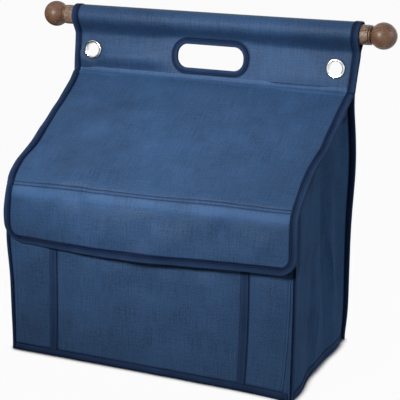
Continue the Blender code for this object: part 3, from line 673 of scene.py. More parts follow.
def swept(name, points, inwards, normals, outline, material, closed=False, worn_at=0.0, seed=1):
    """An outline of (inward, normal) offsets carried along a path, with the slight ripple of sewn tape."""
    outline = np.asarray(outline, float)
    travel = np.concatenate([[0.0], np.cumsum(np.linalg.norm(np.diff(points, axis=0), axis=1))])
    ripple = 1 + 0.035 * drift(travel, travel * 0, 0.011, seed) if not closed else np.ones(len(points))
    rings = (
        points[:, None]
        + inwards[:, None] * (outline[None, :, :1] * ripple[:, None, None])
        + normals[:, None] * outline[None, :, 1:]
    )
    rows, columns = rings.shape[:2]
    index = np.arange(rows * columns).reshape(rows, columns)
    index = np.concatenate([index, index[:, :1]], axis=1)
    if closed:
        index = np.concatenate([index, index[:1]], axis=0)
    quads = np.stack([index[:-1, :-1], index[1:, :-1], index[1:, 1:], index[:-1, 1:]], -1).reshape(-1, 4)
    faces = quads.tolist()
    if not closed:
        faces += [index[0, :-1].tolist(), index[-1, -2::-1].tolist()]
    around = np.linalg.norm(np.diff(np.concatenate([outline, outline[:1]]), axis=0), axis=1)
    u = np.concatenate([[0.0], np.cumsum(around)[:-1]])
    weave = np.stack(np.meshgrid(u, travel), -1)
    worn = np.broadcast_to(near(outline[:, 0] - worn_at, 0.0012), (rows, columns))
    inner = outline[:, 0].max()
    # Painted shade along the tape's inner edge and in its stitch row.
    sewn = near(outline[:, 0] - inner, 0.0012) + 0.75 * near(outline[:, 0] - inner + 0.0029, 0.0011)
    sewn = np.broadcast_to(np.clip(sewn, 0, 1), (rows, columns))
    made = mesh_object(name, rings, faces, weave, worn, material, sharp=50.0, sewn=sewn)
    face_outwards(made)
    return made


def face_outwards(obj):
    """Turns a closed piece's faces outwards if its volume comes out negative."""
    mesh = obj.data
    mesh.calc_loop_triangles()
    points = np.zeros(len(mesh.vertices) * 3)
    mesh.vertices.foreach_get("co", points)
    points = points.reshape(-1, 3)
    triangles = np.zeros(len(mesh.loop_triangles) * 3, np.int32)
    mesh.loop_triangles.foreach_get("vertices", triangles)
    a, b, c = (points[triangles.reshape(-1, 3)[:, i]] for i in range(3))
    if (a * np.cross(b, c)).sum() < 0:
        mesh.flip_normals()


def folded_outline(stack, reach, tape):
    """Tape folded over an edge that is a stack thick: two legs that reach inwards and a round nose."""
    inner = stack / 2 + AIR * 0.5
    outer = inner + tape
    nose = 0.0013
    turns = np.linspace(math.pi / 2, -math.pi / 2, 9)
    round_nose = [(-nose * math.cos(t), outer * math.sin(t)) for t in turns]
    bed = [(-AIR, -inner), (-AIR, inner)]
    leg = [(reach - inset, -outer) for inset in (0.0055, 0.0042, 0.0029, 0.0016)]
    leg += [(reach, -outer + tape * 0.15), (reach + tape * 0.1, -inner - tape * 0.3), (reach, -inner)]
    far = [(a, -b) for a, b in reversed(leg)]
    return far[1:] + round_nose + leg + bed + far[:1]


def binding(name, place, route, stack, reach, material, inward_turn=1, closed=False, seed=1, depth=None):
    """Tape folded over an edge of a surface, along a route of (across, along) pairs."""
    sizes = bpy.context.scene.bag_sizes
    depth = stack / 2 if depth is None else depth
    points, tangents, normals = frames_on(place, route, depth, closed)
    inwards = unit(np.cross(normals, tangents)) * inward_turn
    outline = folded_outline(stack, reach, sizes.tape)
    return swept(name, points, inwards, normals, outline, material, closed, 0.0, seed)


def even_route(route, pitch, closed=False):
    """Points at an even pitch along a polyline of (across, along) pairs, or of points in space."""
    route = np.asarray(route, float)
    if closed:
        route = np.concatenate([route, route[:1]])
    travel = np.concatenate([[0.0], np.cumsum(np.linalg.norm(np.diff(route, axis=0), axis=1))])
    count = max(2, int(round(travel[-1] / pitch)))
    wanted = np.linspace(0, travel[-1], count + 1)
    if closed:
        wanted = wanted[:-1]
    return np.stack([np.interp(wanted, travel, route[:, k]) for k in range(route.shape[1])], -1)


def stitches(name, rows, material):
    """Thread along rows of (place, route, lift), as slim beads that dip into the cloth at their ends."""
    sizes = bpy.context.scene.bag_sizes
    half, thick = sizes.stitch_length / 2, sizes.thread / 2
    near_end = [(-1.0, 0.30, -0.7), (-0.62, 0.85, 0.0)]
    far_end = [(-x, wide, up) for x, wide, up in reversed(near_end)]
    stations = near_end + [(0.0, 1.0, 0.25)] + far_end
    turns = np.arange(6) * (math.pi / 3)
    template = np.array(
        [
            (x * half, thick * wide * math.cos(t), thick * (wide * 0.7 * math.sin(t) + up))
            for x, wide, up in stations
            for t in turns
        ]
    )
    ring = np.arange(len(stations) * 6).reshape(len(stations), 6)
    ring = np.concatenate([ring, ring[:, :1]], axis=1)
    quads = np.stack([ring[:-1, :-1], ring[:-1, 1:], ring[1:, 1:], ring[1:, :-1]], -1).reshape(-1, 4)
    all_points, all_faces, all_weave = [], [], []
    for place, route, lift in rows:
        route = even_route(route, sizes.stitch_pitch)
        points, tangents, normals = frames_on(place, route, -lift)
        sides = unit(np.cross(normals, tangents))
        for centre, ahead, side, up in zip(points, tangents, sides, normals):
            start = len(all_points) * len(template)
            all_points.append(centre + template @ np.stack([ahead, side, up]))
            all_faces += (quads + start).tolist()
            all_faces.append((ring[0, 5::-1] + start).tolist())
            all_faces.append((ring[-1, :6] + start).tolist())
            all_weave.append(template[:, :2])
    points = np.concatenate(all_points)
    weave, worn = np.concatenate(all_weave), np.zeros(len(points))
    made = mesh_object(name, points, all_faces, weave, worn, material, 60.0)
    face_outwards(made)
    return made


def straight(first, last, pitch=0.004):
    """A straight route between two (across, along) pairs."""
    return even_route([first, last], pitch)


# Walls of the box


def slumped(x, y, z):
    """Where a point of the box goes as the soft box settles: its foot spreads and its edges bow."""
    right = np.clip(0.5 + 0.5 * x / BODY_HALF, 0, 1)
    back = np.clip((y - FRONT_Y) / (BACK_Y - FRONT_Y), 0, 1)
    foot = np.clip(1 - z / 0.13, 0, 1) ** 2
    middle = 4 * back * (1 - back)
    spread = 0.0050 * (1 - back) ** 2 - 0.0042 * back**6 * near(z, 0.035) / np.maximum(foot, 0.2)
    ripple = 0.0062 * near(back - 0.16, 0.13) + 0.0032 * near(back - 0.80, 0.11) - 0.0022 * middle
    x = x + right**6 * foot * (spread + ripple)
    x = x + right**4 * back**4 * (0.0050 * near(z - 0.300, 0.075) - 0.0014 * near(z - 0.395, 0.03))
    x = x - (1 - right) ** 4 * (1 - back) ** 2 * 0.0060 * near(z - 0.190, 0.050)
    x = x + (1 - right) ** 4 * (1 - back) ** 2 * 0.0040 * near(z, 0.060)
    y = y - (1 - back) * foot * (0.0030 + 0.0110 * right + 0.0075 * right**12 + 0.0012 * (1 - right) ** 8)
    return x, y, z


def front_wall(across, along):
    """The front wall's outer face: along runs up the leaning wall."""
    return slumped(across, FRONT_Y + along * math.sin(LEAN), along * math.cos(LEAN) + 0 * across)


def back_half(height):
    """Half the back wall's width at a height."""
    return BACK_FOOT_HALF + (BACK_TOP_HALF - BACK_FOOT_HALF) * height / SEAM_Z


def back_wall(across, along):
    """The back wall's outer face, seen from behind: across runs from -1 to 1, right to left."""
    x = -across * back_half(along)
    free = rise(0.9 - np.abs(across), 0.15) * rise(along, 0.03) * rise(BACK_TOP - along, 0.03)
    bulge = 0.0008 + 0.0012 * drift(x, along, 0.16, 3) + 0.0005 * drift(x, along, 0.05, 4)
    return slumped(x, BACK_Y + bulge * free * 0.8, along + 0 * x)


def lid_height(y, depth):
    """Height of the plane a depth under the lid's hinge line, at a given y."""
    return SEAM_Z - (SEAM_Y - y) * math.tan(SLOPE) - depth / math.cos(SLOPE)


GUSSET_TOP_DEPTH = HINGE_GAP + STACK + 0.0042


def gusset_wall(side, sizes):
    """The outer face of a side wall. Across runs from 0 to 1, along from the floor (0) to the lid (1)."""

    def place(across, along):
        forward = across if side > 0 else 1 - across
        y = FRONT_Y + forward * (SIDE_BACK_Y - FRONT_Y)
        z = along * FRONT_TOP
        for _ in range(4):
            front = FRONT_Y + z * math.tan(LEAN) + STACK
            y = front + forward * (SIDE_BACK_Y - front)
            arch = np.sin(math.pi * np.clip(forward, 0, 1))
            dip = 0.013 * near(forward - 0.93, 0.07) + 0.004 * (side < 0) * arch
            lift = 0.0030 * arch**2
            z = lift * (1 - along) + CLEAR_OF_FLOOR + along * (lid_height(y, GUSSET_TOP_DEPTH) - dip)
        drawn = arch**0.8
        tall = 0.25 + 0.75 * np.sin(math.pi * np.clip(0.06 + 0.78 * along, 0, 1))
        lean = forward - 0.72 + 0.16 * (along - 0.5)
        fold = 0.0042 * near(lean, 0.050) * np.sin(math.pi * np.clip(along * 1.1, 0, 1))
        second = 0.0024 * near(forward - 0.30 - 0.1 * along, 0.07) * np.sin(math.pi * np.clip(along, 0, 1))
        soft = 0.0030 * drift(forward * SIDE_WIDE + along * 0.04, along * 0.12 + side, 0.055, 11) * drawn
        fine = 0.0007 * drift(forward * SIDE_WIDE, along * 0.3 + side, 0.022, 12) * drawn
        upright = np.sin(math.pi * np.clip(along, 0, 1))
        crease = 0.0021 * near(forward - 0.90 + 0.42 * along, 0.020) * near(along - 0.42, 0.30)
        crease = crease + 0.0016 * near(forward - 0.42 - 0.30 * along, 0.022) * near(along - 0.30, 0.24)
        crease = crease - 0.0018 * near(forward - 0.62 + 0.10 * along, 0.026) * upright
        x = BODY_HALF - sizes.gusset_sag * drawn * tall + (fold - second + soft + fine + crease) * drawn
        x = x - 0.0045 * near(forward - 1.0, 0.055) - 0.0035 * drawn * np.clip(along, 0, 1) ** 3
        return slumped(side * x, y, z)

    return place


def gusset_painted_shade(side, sizes):
    """Painted shade on a side wall: along its stitched edges, and a wider painted shadow under the flap's overhang
    at the front.
    """

    def sewn(across, along):
        forward = across if side > 0 else 1 - across
        tall = 0.28 + 0.12 * forward
        top = np.maximum((1 - along) * tall - sizes.tape_reach, 0)
        foot = np.maximum(along * tall - HEM_TOP, 0)
        front, back = np.maximum(forward * SIDE_WIDE - 0.0015, 0), (1 - forward) * SIDE_WIDE
        # The painted shadow at the front edge widens from just below the flap's foot upwards, where the flap
        # overhangs.
        under = 0.0028 + 0.0150 * rise(along * tall - FLAP_FOOT_Z + 0.010, 0.006)
        return near(top, 0.0015) + 0.4 * near(foot, 0.0014) + near(front, under) + near(back, 0.0036)

    return sewn


def base_face(across, along):
    """The underside of the base: across and along run from -1 to 1."""
    middle = (low("base_cloth") + high("base_cloth")) / 2
    half = (high("base_cloth") - low("base_cloth")) / 2
    x, y, _ = slumped(middle.x + across * half.x, middle.y - along * half.y, 0 * across)
    return x, y, 0 * across


def counts(width, cell):
    """How many grid lines a width takes, at about a cell each."""
    return max(3, int(round(width / cell)) + 1)


class BAG_OT_walls(bpy.types.Operator):
    """Front, back, side and base cloth with their linings"""

    bl_idname = "bag.make_walls"
    bl_label = "Walls"

    def execute(self, context):
        sizes, cell = context.scene.bag_sizes, 0.008
        half, tall = BODY_HALF - AIR, FRONT_TOP / math.cos(LEAN)
        across = np.linspace(-half, half, counts(2 * half, cell))
        up = np.linspace(FRONT_CLEAR_OF_FLOOR, tall, counts(FRONT_TOP, cell))
        self.lined("front_wall", front_wall, (across, up), ["front_cloth", "front_board"], "front_lining")
        grid = np.linspace(-1, 1, 91), np.linspace(CLEAR_OF_FLOOR, BACK_TOP, 81)
        self.lined("back_wall", back_wall, grid, ["back_cloth", "back_board"], "back_lining")
        for word, side in SIDES.items():
            place, sewn = gusset_wall(side, sizes), gusset_painted_shade(side, sizes)
            grid = np.linspace(0, 1, 71), np.linspace(0, 1, 101)
            cloth, lining = f"gusset_cloth_{word}", f"gusset_lining_{word}"
            self.lined(f"gusset_{word}", place, grid, [cloth], lining, GUSSET_STACK, sewn)
        grid = np.linspace(-1, 1, 61), np.linspace(-1, 1, 31)
        self.lined("base", base_face, grid, ["base_cloth", "base_board"], "base_lining")
        return {"FINISHED"}

    def lined(self, name, place, grid, cloths, lining, stack=STACK, sewn=None):
        """One wall: its outer cloth, and its lining a stack deeper."""
        sizes, mats = bpy.context.scene.bag_sizes, finishes()
        face = mats["cloth"] if name == "front_wall" else mats["side_cloth"]
        outer = sheet(f"{name}_outer", place, *grid, sizes.cloth, face, sewn=sewn, plain=True)
        depth = stack - sizes.lining
        inner = sheet(f"{name}_inner", place, *grid, sizes.lining, mats["lining"], depth, plain=True)
        keep(outer, "navy_cloth", *cloths)
        keep(inner, "dark_lining", lining)


def corner_outline(stack, reach, back, tape):
    """An angle of tape: one leg on the front wall and one back along the side wall."""
    out, round_by, slip = AIR + tape, 0.9, 0.0001
    turns = np.linspace(0, math.pi / 2, 5)
    bend = [(-out * math.cos(t) * round_by - slip, -out * math.sin(t) * round_by - slip) for t in turns]
    return [(-AIR, stack + back), (-out, stack + back)] + bend + [(reach, -out), (reach, -AIR), (-AIR, -AIR)]


class BAG_OT_bindings(bpy.types.Operator):
    """Tape and stitches on the edges of the box"""

    bl_idname = "bag.make_bindings"
    bl_label = "Edge tapes"

    def execute(self, context):
        sizes, mats = context.scene.bag_sizes, finishes()
        reach, lift = sizes.tape_reach, sizes.tape + AIR
        rows = []
        for word, side in SIDES.items():
            place = gusset_wall(side, sizes)
            across = np.linspace(0.02, 0.985, 60)
            route, name = [(a, 1.0) for a in across], f"gusset_top_tape_{word}"
            tape = binding(name, place, route, GUSSET_STACK, reach, mats["tape"], -1, seed=20 + side)
            keep(tape, "navy_binding", f"gusset_top_binding_{word}")
            row = 1.0 - (reach - OUTER_ROW) / SIDE_TALL
            rows.append((place, [(a, row) for a in across], lift))
            route = [(-side, z) for z in np.linspace(CLEAR_OF_FLOOR, BACK_TOP, 90)]
            name = f"back_edge_tape_{word}"
            tape = binding(name, back_wall, route, STACK, reach, mats["tape"], -side, seed=30 + side)
            keep(tape, "navy_binding", f"back_binding_{word}")
            row, short = -side * (1 - (reach - OUTER_ROW) / BACK_TOP_HALF), 0.003
            rows.append((back_wall, straight((row, short), (row, BACK_TOP - short)), sizes.tape))
            self.corner(word, side, sizes, mats)
        ends = BODY_HALF - CORNER_REACH - AIR
        top = FRONT_TOP / math.cos(LEAN)
        route = straight((-ends, top), (ends, top), 0.006)
        tape = binding("front_top_tape", front_wall, route, STACK, reach, mats["tape"], -1, seed=41)
        keep(tape, "navy_binding", "front_top_binding")
        row = top - reach + OUTER_ROW
        rows.append((front_wall, straight((-ends, row), (ends, row)), lift))
        keep(stitches("wall_stitches", rows, mats["thread"]), "navy_binding")
        return {"FINISHED"}

    def corner(self, word, side, sizes, mats):
        """The angle of tape down one front corner. The right one is mostly turned under."""
        heights = np.linspace(FOOT, FRONT_TOP / math.cos(LEAN), 70)
        x, y, z = front_wall(np.full(len(heights), side * BODY_HALF), heights)
        points = np.stack([x, y, z], -1)
        inwards = np.tile([-side, 0.0, 0.0], (len(points), 1))
        normals = np.tile([0.0, math.cos(LEAN), -math.sin(LEAN)], (len(points), 1))
        reach, back = (CORNER_REACH, CORNER_REACH) if side < 0 else (0.0032, 0.0015)
        outline = corner_outline(STACK, reach, back, sizes.tape)
        name = f"front_corner_tape_{word}"
        piece = swept(name, points, inwards, normals, outline, mats["tape"], worn_at=-0.001)
        keep(piece, "navy_binding", f"front_corner_binding_{word}")


class BAG_OT_hems(bpy.types.Operator):
    """Flat tape round the foot of the box"""

    bl_idname = "bag.make_hems"
    bl_label = "Foot tapes"

    def execute(self, context):
        sizes, mats = context.scene.bag_sizes, finishes()
        over_pocket = AIR * 2 + sizes.cloth + sizes.tape
        half = BODY_HALF - CORNER_REACH - AIR

        def front(across, along):
            x, y, z = front_wall(across, along)
            rolled = 0.0024 * np.clip(1 - along / 0.0036, 0, 1) ** 2
            out = over_pocket + 0.0006 * drift(across, along * 0.3, 0.03, 51) - rolled
            return x, y - out * math.cos(LEAN), z + out * math.sin(LEAN)

        def back(across, along):
            x, y, z = back_wall(across, along)
            return x, y + AIR + sizes.tape, z

        lines = [HEM_TOP - row for row in HEM_ROWS]
        rows = [(front, straight((-half, line), (half, line)), 0.0) for line in lines]
        roll_end = 0.0040
        up = np.concatenate([np.linspace(FOOT, roll_end, 6)[:-1], np.linspace(roll_end, HEM_TOP, 7)])
        self.hem("front", front, np.linspace(-half, half, 140), up, sizes, mats)
        edge = 1 - 0.012 / BACK_FOOT_HALF
        self.hem("back", back, np.linspace(-edge, edge, 90), up, sizes, mats)
        rows += [(back, straight((-edge, line), (edge, line)), 0.0) for line in lines]
        for word, side in SIDES.items():
            place = gusset_wall(side, sizes)

            def strip(across, along, place=place, side=side):
                x, y, z = place(across, along / SIDE_TALL)
                rolled = 0.0050 * np.clip(1 - along / 0.0095, 0, 1) ** 2
                return x + side * (AIR + sizes.tape - rolled), y, z

            first, last = (0.04, 0.985) if side > 0 else (0.015, 0.96)
            self.hem(word, strip, np.linspace(first, last, 60), up, sizes, mats)
            rows += [(strip, straight((first, line), (last, line), 0.01), 0.0) for line in lines]
        keep(stitches("foot_stitches", rows, mats["thread"]), "navy_binding")
        return {"FINISHED"}

    def hem(self, word, place, across, along, sizes, mats):
        """One strip, with painted shade where it rolls under the box and along its stitched top."""

        def sewn(across, along):
            return near(along, 0.0036) + 0.8 * near(along - HEM_TOP, 0.0010)

        piece = sheet(f"foot_tape_{word}", place, across, along, sizes.tape, mats["tape"], sewn=sewn)
        keep(piece, "navy_binding", f"hem_{word}")


# Front pocket


def pocket_face(sizes):
    """The pocket's outer face: sewn down at its sides, foot and dividers, and slack between them."""
    tape_half = DIVIDER_TAPE_HALF - 0.0001
    foot_half = BODY_HALF - 0.0105

    def place(across, along):
        along = along + 0.013 * across * (along / POCKET_MOUTH) ** 2
        taper = (POCKET_HALF - foot_half) * (1 - along / POCKET_MOUTH)
        beyond = np.clip((np.abs(across) - DIVIDER_X) / (POCKET_HALF - DIVIDER_X), 0, 1)
        x = across - np.sign(across) * beyond * taper
        inside = DIVIDER_X - tape_half - np.abs(across)
        to_side = POCKET_HALF - POCKET_SIDE_ROW - np.abs(across)
        outside = np.minimum(np.abs(across) - DIVIDER_X - tape_half, to_side)
        held = rise(np.maximum(inside, outside), 0.016) * rise(along - HEM_TOP, 0.020)
        slack = 0.62 + 0.38 * np.sin(math.pi * np.clip(along / POCKET_MOUTH, 0, 1))
        slack = slack * (1 - 0.75 * np.clip((along - FLAP_FOOT_Z + 0.035) / 0.030, 0, 1))
        folds = 0.0034 * drift(x + 0.3 * along, along * 0.35, 0.048, 61) + 0.0011 * drift(x, along, 0.028, 62)
        folds = folds * (1 - 0.6 * near(along - FLAP_FOOT_Z, 0.020))
        pull = 0.0020 * near(x + 0.09 + 0.45 * (along - 0.09), 0.014) * near(along - 0.08, 0.06)
        out = 0.0012 + held * np.maximum(sizes.pocket_fullness * slack + folds - pull, 0.0004)
        _, y, z = front_wall(x, along)
        return x, y - out * math.cos(LEAN), z + out * math.sin(LEAN)

    return place


def pocket_painted_shade(across, along):
    """Painted shade on the pocket: beside its tapes, most to their right, at its sides and over the hem."""
    tape = np.maximum(np.abs(np.abs(across) - DIVIDER_X) - DIVIDER_TAPE_HALF - 0.0001, 0)
    right = np.abs(across + DIVIDER_X * (across < 0) - DIVIDER_X * (across > 0) - 0.0066)
    side = POCKET_HALF - POCKET_SIDE_ROW - np.abs(across)
    rows = near(tape, 0.0012) + near(np.maximum(along - HEM_TOP, 0), 0.0014) + 0.6 * near(side, 0.0011)
    return rows + near(right, 0.0019)


class BAG_OT_pocket(bpy.types.Operator):
    """Divided front pocket with its two tapes"""

    bl_idname = "bag.make_pocket"
    bl_label = "Pocket"

    def execute(self, context):
        sizes, mats = context.scene.bag_sizes, finishes()
        place = pocket_face(sizes)
        up = POCKET_MOUTH / math.cos(LEAN) - FOOT
        grid = np.linspace(-POCKET_HALF, POCKET_HALF, 241), np.linspace(FOOT, up, 91)
        pocket = sheet("pocket_cloth_slack", place, *grid, sizes.cloth, mats["cloth"], sewn=pocket_painted_shade)
        keep(pocket, "navy_cloth", "pocket_cloth")

        def strip(across, along):
            x, y, z = place(across, along)
            out = AIR + sizes.tape
            return x, y - out * math.cos(LEAN), z + out * math.sin(LEAN)

        rows = []
        low_end, high_end = HEM_TOP + 0.002, up - 0.002
        row, tack = 0.0046, 0.008
        for word, side in SIDES.items():
            centre = side * DIVIDER_X
            wide = np.linspace(centre - DIVIDER_TAPE_HALF, centre + DIVIDER_TAPE_HALF, 7)
            tall = np.linspace(HEM_TOP + AIR, up, 70)
            tape = sheet(f"pocket_tape_{word}_sewn", strip, wide, tall, sizes.tape, mats["tape"])
            keep(tape, "navy_binding", f"pocket_tape_{word}")
            for line in (centre - row, centre + row):
                rows.append((strip, straight((line, low_end), (line, high_end)), 0.0))
            slant = (centre - row, high_end - tack), (centre + row, high_end)
            rows.append((strip, straight(*slant, 0.002), 0.0))
        for side in SIDES.values():
            line = side * (POCKET_HALF - POCKET_SIDE_ROW)
            rows.append((place, straight((line, low_end), (line, high_end)), 0.0))
        ends, mouth_row = POCKET_HALF - 0.004, up - 0.009
        rows.append((place, straight((-ends, mouth_row), (ends, mouth_row)), 0.0))
        keep(stitches("pocket_stitches", rows, mats["thread"]), "navy_binding")
        return {"FINISHED"}


# Lid and flap, one sheet


class LidLine:
    """The side view of the lid and flap: a slope, a round fold and a hanging flap."""

    def __init__(self):
        self.down = np.array([-math.cos(SLOPE), -math.sin(SLOPE)])
        self.up = np.array([-math.sin(SLOPE), math.cos(SLOPE)])
        turn = math.pi / 2 - SLOPE - LEAN
        hinge, fold = np.array([SEAM_Y, SEAM_Z]), np.array([FOLD_Y, FOLD_Z])
        reach = (fold - hinge) @ self.down
        tight = FOLD_RADIUS - HINGE_GAP
        corner = reach - FOLD_RADIUS * math.sin(turn / 2) + tight * math.tan(turn / 2)
        corner = corner + FLAP_OUT / math.sin(turn)
        self.radius = SOFT_FOLD_RADIUS
        self.slope_end = corner - self.radius * math.tan(turn / 2)
        self.turn = turn
        self.start = hinge - self.up * HINGE_GAP
        self.centre = self.start + self.down * self.slope_end - self.up * self.radius
        self.bend_end = self.slope_end + self.radius * turn
        self.hang = np.array([-math.sin(LEAN), -math.cos(LEAN)])
        self.out = np.array([-math.cos(LEAN), math.sin(LEAN)])
        self.foot = self.bend_end + (self.at(self.bend_end)[1] - FLAP_FOOT_Z) / math.cos(LEAN)

    def at(self, travel):
        y, z, _, _ = self.line(np.asarray(travel, float))
        return float(y), float(z)

    def line(self, travel):
        """(y, z) and the outward normal at a distance from the seam."""
        angle = np.clip((travel - self.slope_end) / self.radius, 0, self.turn)
        ny = self.up[0] * np.cos(angle) + self.down[0] * np.sin(angle)
        nz = self.up[1] * np.cos(angle) + self.down[1] * np.sin(angle)
        before = np.minimum(travel - self.slope_end, 0)
        after = np.maximum(travel - self.bend_end, 0)
        y = self.centre[0] + self.radius * ny + before * self.down[0] + after * self.hang[0]
        z = self.centre[1] + self.radius * nz + before * self.down[1] + after * self.hang[1]
        return y, z, ny, nz


LID = LidLine()
LID_CLEAR_OF_SEAM = 0.0045
STITCH_LINE = LID.slope_end + 0.018
SECOND_LINE = STITCH_LINE + 0.0055

# How the lid's edges draw in, as (depth, distance from the seam, length) of each bow
LEFT_BOWS = (
    (0.0098, 0.165, 0.115),
    (0.0034, 0.035, 0.035),
    (0.0050, 0.277, 0.028),
    (-0.0032, 0.222, 0.018),
    (0.0024, 0.076, 0.024),
)
RIGHT_BOWS = ((0.0040, 0.200, 0.045), (-0.0020, LID.foot - 0.020, 0.030))


def bowed(travel, bows):
    """The sum of a few smooth bows along an edge."""
    return sum(depth * near(travel - place, width) for depth, place, width in bows)


def lid_half(travel, side):
    """Half the width of the lid and flap on one side: drawn in by its sag, wavy, and round at the foot."""
    wave = 0.0009 * drift(travel, travel * 0 + side, 0.045, 71) * rise(travel, 0.02)
    left = bowed(travel, LEFT_BOWS) * rise(travel, 0.012)
    right = bowed(travel, RIGHT_BOWS)
    into = np.clip((travel - (LID.foot - FLAP_CORNER)) / FLAP_CORNER, 0, 1)
    corner = FLAP_CORNER * (1 - np.sqrt(np.maximum(1 - into * into, 0)))
    return LID_HALF + wave - np.where(side > 0, right, left) - corner


def lid_face(sizes):
    """The lid's and flap's outer face: across in metres, along from the flap's foot up to the seam."""

    def place(across, along):
        travel = LID.foot - along
        hanging = np.clip((travel - LID.bend_end) / (LID.foot - LID.bend_end), 0, 1)
        slid = travel - SKEW * across * np.clip(travel / LID.slope_end, 0, 1) ** 2
        y, z, ny, nz = LID.line(slid)
        rim = rise(LID_HALF - np.abs(across), 0.03)
        ends = rise(travel, 0.03) ** 2
        broad = sizes.lid_wave * (1.3 * drift(across, travel, 0.12, 72) + 0.2) * rim * ends
        middle = 0.0034 * drift(across + 0.5 * travel, travel, 0.056, 73) * ends * (0.4 + 0.6 * rim)
        middle = middle + 0.0010 * drift(across, travel, 0.022, 76) * ends
        below = travel - SECOND_LINE
        pucker = 0.0015 * drift(across + 0.2 * travel, travel * 0.3, 0.021, 74) * near(below - 0.010, 0.018)
        pucker = pucker * (0.35 + 0.65 * np.clip(0.5 - across / 0.2, 0, 1))
        valley = 0.0009 * (near(travel - STITCH_LINE, 0.0016) + near(below, 0.0016))
        left = np.clip(0.5 - 0.5 * across / LID_HALF, 0, 1)
        right = 1 - left
        drape = 0.0042 * drift(across, travel * 0.25, 0.064, 75) * np.sqrt(hanging)
        belly = (0.0016 + 0.0012 * left) * np.sin(math.pi * np.clip(hanging * 0.9 + 0.05, 0, 1))
        belly = belly - 0.0080 * hanging**1.5 * left**2 + 0.0060 * hanging**1.3 * right**1.5
        belly = belly + 0.0062 * hanging**2 * arched(across - 0.02, 0.235)
        dent = 0.0046 * near(across + 0.118 - 0.3 * below, 0.013) * near(below - 0.008, 0.016)
        crown = 0.0014 * near(travel - LID.slope_end * 0.55, 0.11) * rim
        out = broad + middle + pucker - valley + drape - dent + crown + belly
        droop = sizes.flap_bow * hanging * arched(across + 0.07, 0.30)
        return across, y + out * ny, z + out * nz - droop

    return place


def widened(place):
    """The same face with across given as a share of the half width."""
    return lambda share, along: place(share * lid_half(LID.foot - along, share), along)


def lid_contour(inset):
    """The route down the right edge, round the flap's foot and up the left edge, an inset inside."""
    top, bend = LID_CLEAR_OF_SEAM, LID.foot - FLAP_CORNER
    turns = np.linspace(0, math.pi / 2, 12)[1:]
    radius = FLAP_CORNER - inset
    sides = []
    for side in (1, -1):
        down = np.linspace(top, bend, 90)
        x = side * (lid_half(down, side) - inset)
        centre = side * (float(lid_half(np.array(bend), side)) - FLAP_CORNER)
        x = np.concatenate([x, centre + side * radius * np.cos(turns)])
        sides.append(np.stack([x, LID.foot - np.concatenate([down, bend + radius * np.sin(turns)])], -1))
    return np.concatenate([sides[0], sides[1][::-1]])


class BAG_OT_lid(bpy.types.Operator):
    """Lid and flap cloth, lining, tape, stitches and hook strip"""

    bl_idname = "bag.make_lid"
    bl_label = "Lid and flap"

    def execute(self, context):
        sizes, mats = context.scene.bag_sizes, finishes()
        place = lid_face(sizes)
        wide = widened(place)
        reach = sizes.tape_reach
        tape_edge = 1 - (reach + 0.001) / LID_HALF
        share = refined(np.linspace(-1, 1, 221), tape_edge, -tape_edge, reach=0.012, step=0.002)
        first_row, second_row, edge = LID.foot - STITCH_LINE, LID.foot - SECOND_LINE, 0.0004
        foot = np.linspace(edge, FLAP_CORNER, 18)[:-1]
        along = np.concatenate([foot, np.linspace(FLAP_CORNER, LID.foot - edge, 170)])
        along = refined(along, first_row, second_row, reach + 0.0012)

        # Painted shade inside the edge tape and along the two stitched rows at the fold.
        def sewn(share, along):
            travel = LID.foot - along
            half = lid_half(travel, share)
            edge = np.minimum(half * (1 - np.abs(share)), along) - reach - 0.0006
            rows = near(travel - STITCH_LINE, 0.0008) + near(travel - SECOND_LINE, 0.0008)
            return near(np.maximum(edge, 0), 0.0012) + 0.9 * rows

        # A painted highlight in a band on the fold, just below its stitching.
        def rubbed(share, along):
            travel = LID.foot - along
            uneven = 0.75 + 0.45 * drift(share * LID_HALF, travel, 0.035, 77)
            return 1.5 * near(travel - SECOND_LINE - 0.010, 0.009) * uneven

        looks = {"rubbed": rubbed, "sewn": sewn, "plain": True}
        cloth = sheet("lid_and_flap_cloth", wide, share, along, sizes.cloth, mats["cloth"], **looks)
        along = along[along < LID.foot - LID_CLEAR_OF_SEAM]
        depth = STACK - sizes.lining
        grid = wide, share, along
        lining = sheet("lid_and_flap_lining", *grid, sizes.lining, mats["lining"], depth, plain=True)
        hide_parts("lid_cloth", "lid_board", "flap_cloth", "flap_board")
        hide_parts("lid_lining", "flap_lining")
        edge = even_route(lid_contour(0.0), 0.003)
        tape = binding("lid_and_flap_tape", place, edge, STACK, reach, mats["tape"], -1, seed=81)
        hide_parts("lid_binding_left", "lid_binding_right", "flap_binding")
        inner = LID_HALF - reach - 0.001
        rows = [(place, lid_contour(reach - row), sizes.tape + AIR) for row in (OUTER_ROW, INNER_ROW)]
        rows += [(place, straight((-inner, row), (inner, row)), 0.0) for row in (first_row, second_row)]
        thread = stitches("lid_and_flap_stitches", rows, mats["thread"])
        start = (0, *LID.at(LID.slope_end))
        end = (0, *LID.at(LID.bend_end))
        for piece in (cloth, lining, tape, thread):
            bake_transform(piece)
        self.hook_strip(sizes, mats)
        return {"FINISHED"}

    def hook_strip(self, sizes, mats):
        """The stiff half of the closure, on the flap's lining."""
        inner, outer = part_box("hook_strip")
        flap = lid_face(sizes)

        def place(across, along):
            x, y, z = flap(across, along)
            return x, y - tufts(across, along), z

        foot, top = ((z - FLAP_FOOT_Z) / math.cos(LEAN) for z in (inner.z, outer.z))
        grid = np.linspace(inner.x, outer.x, 241), np.linspace(foot, top, 21)
        piece = sheet("flap_hook_strip", place, *grid, CLOSURE_STRIP, mats["hooks"], STACK + AIR)
        keep(piece, "hook_and_loop", "hook_strip", body="flap")


def tufts(across, along):
    """How far the hooks or loops of a closure strip stand up."""
    return 0.00022 * drift(across, along, 0.0022, 91) - 0.0001


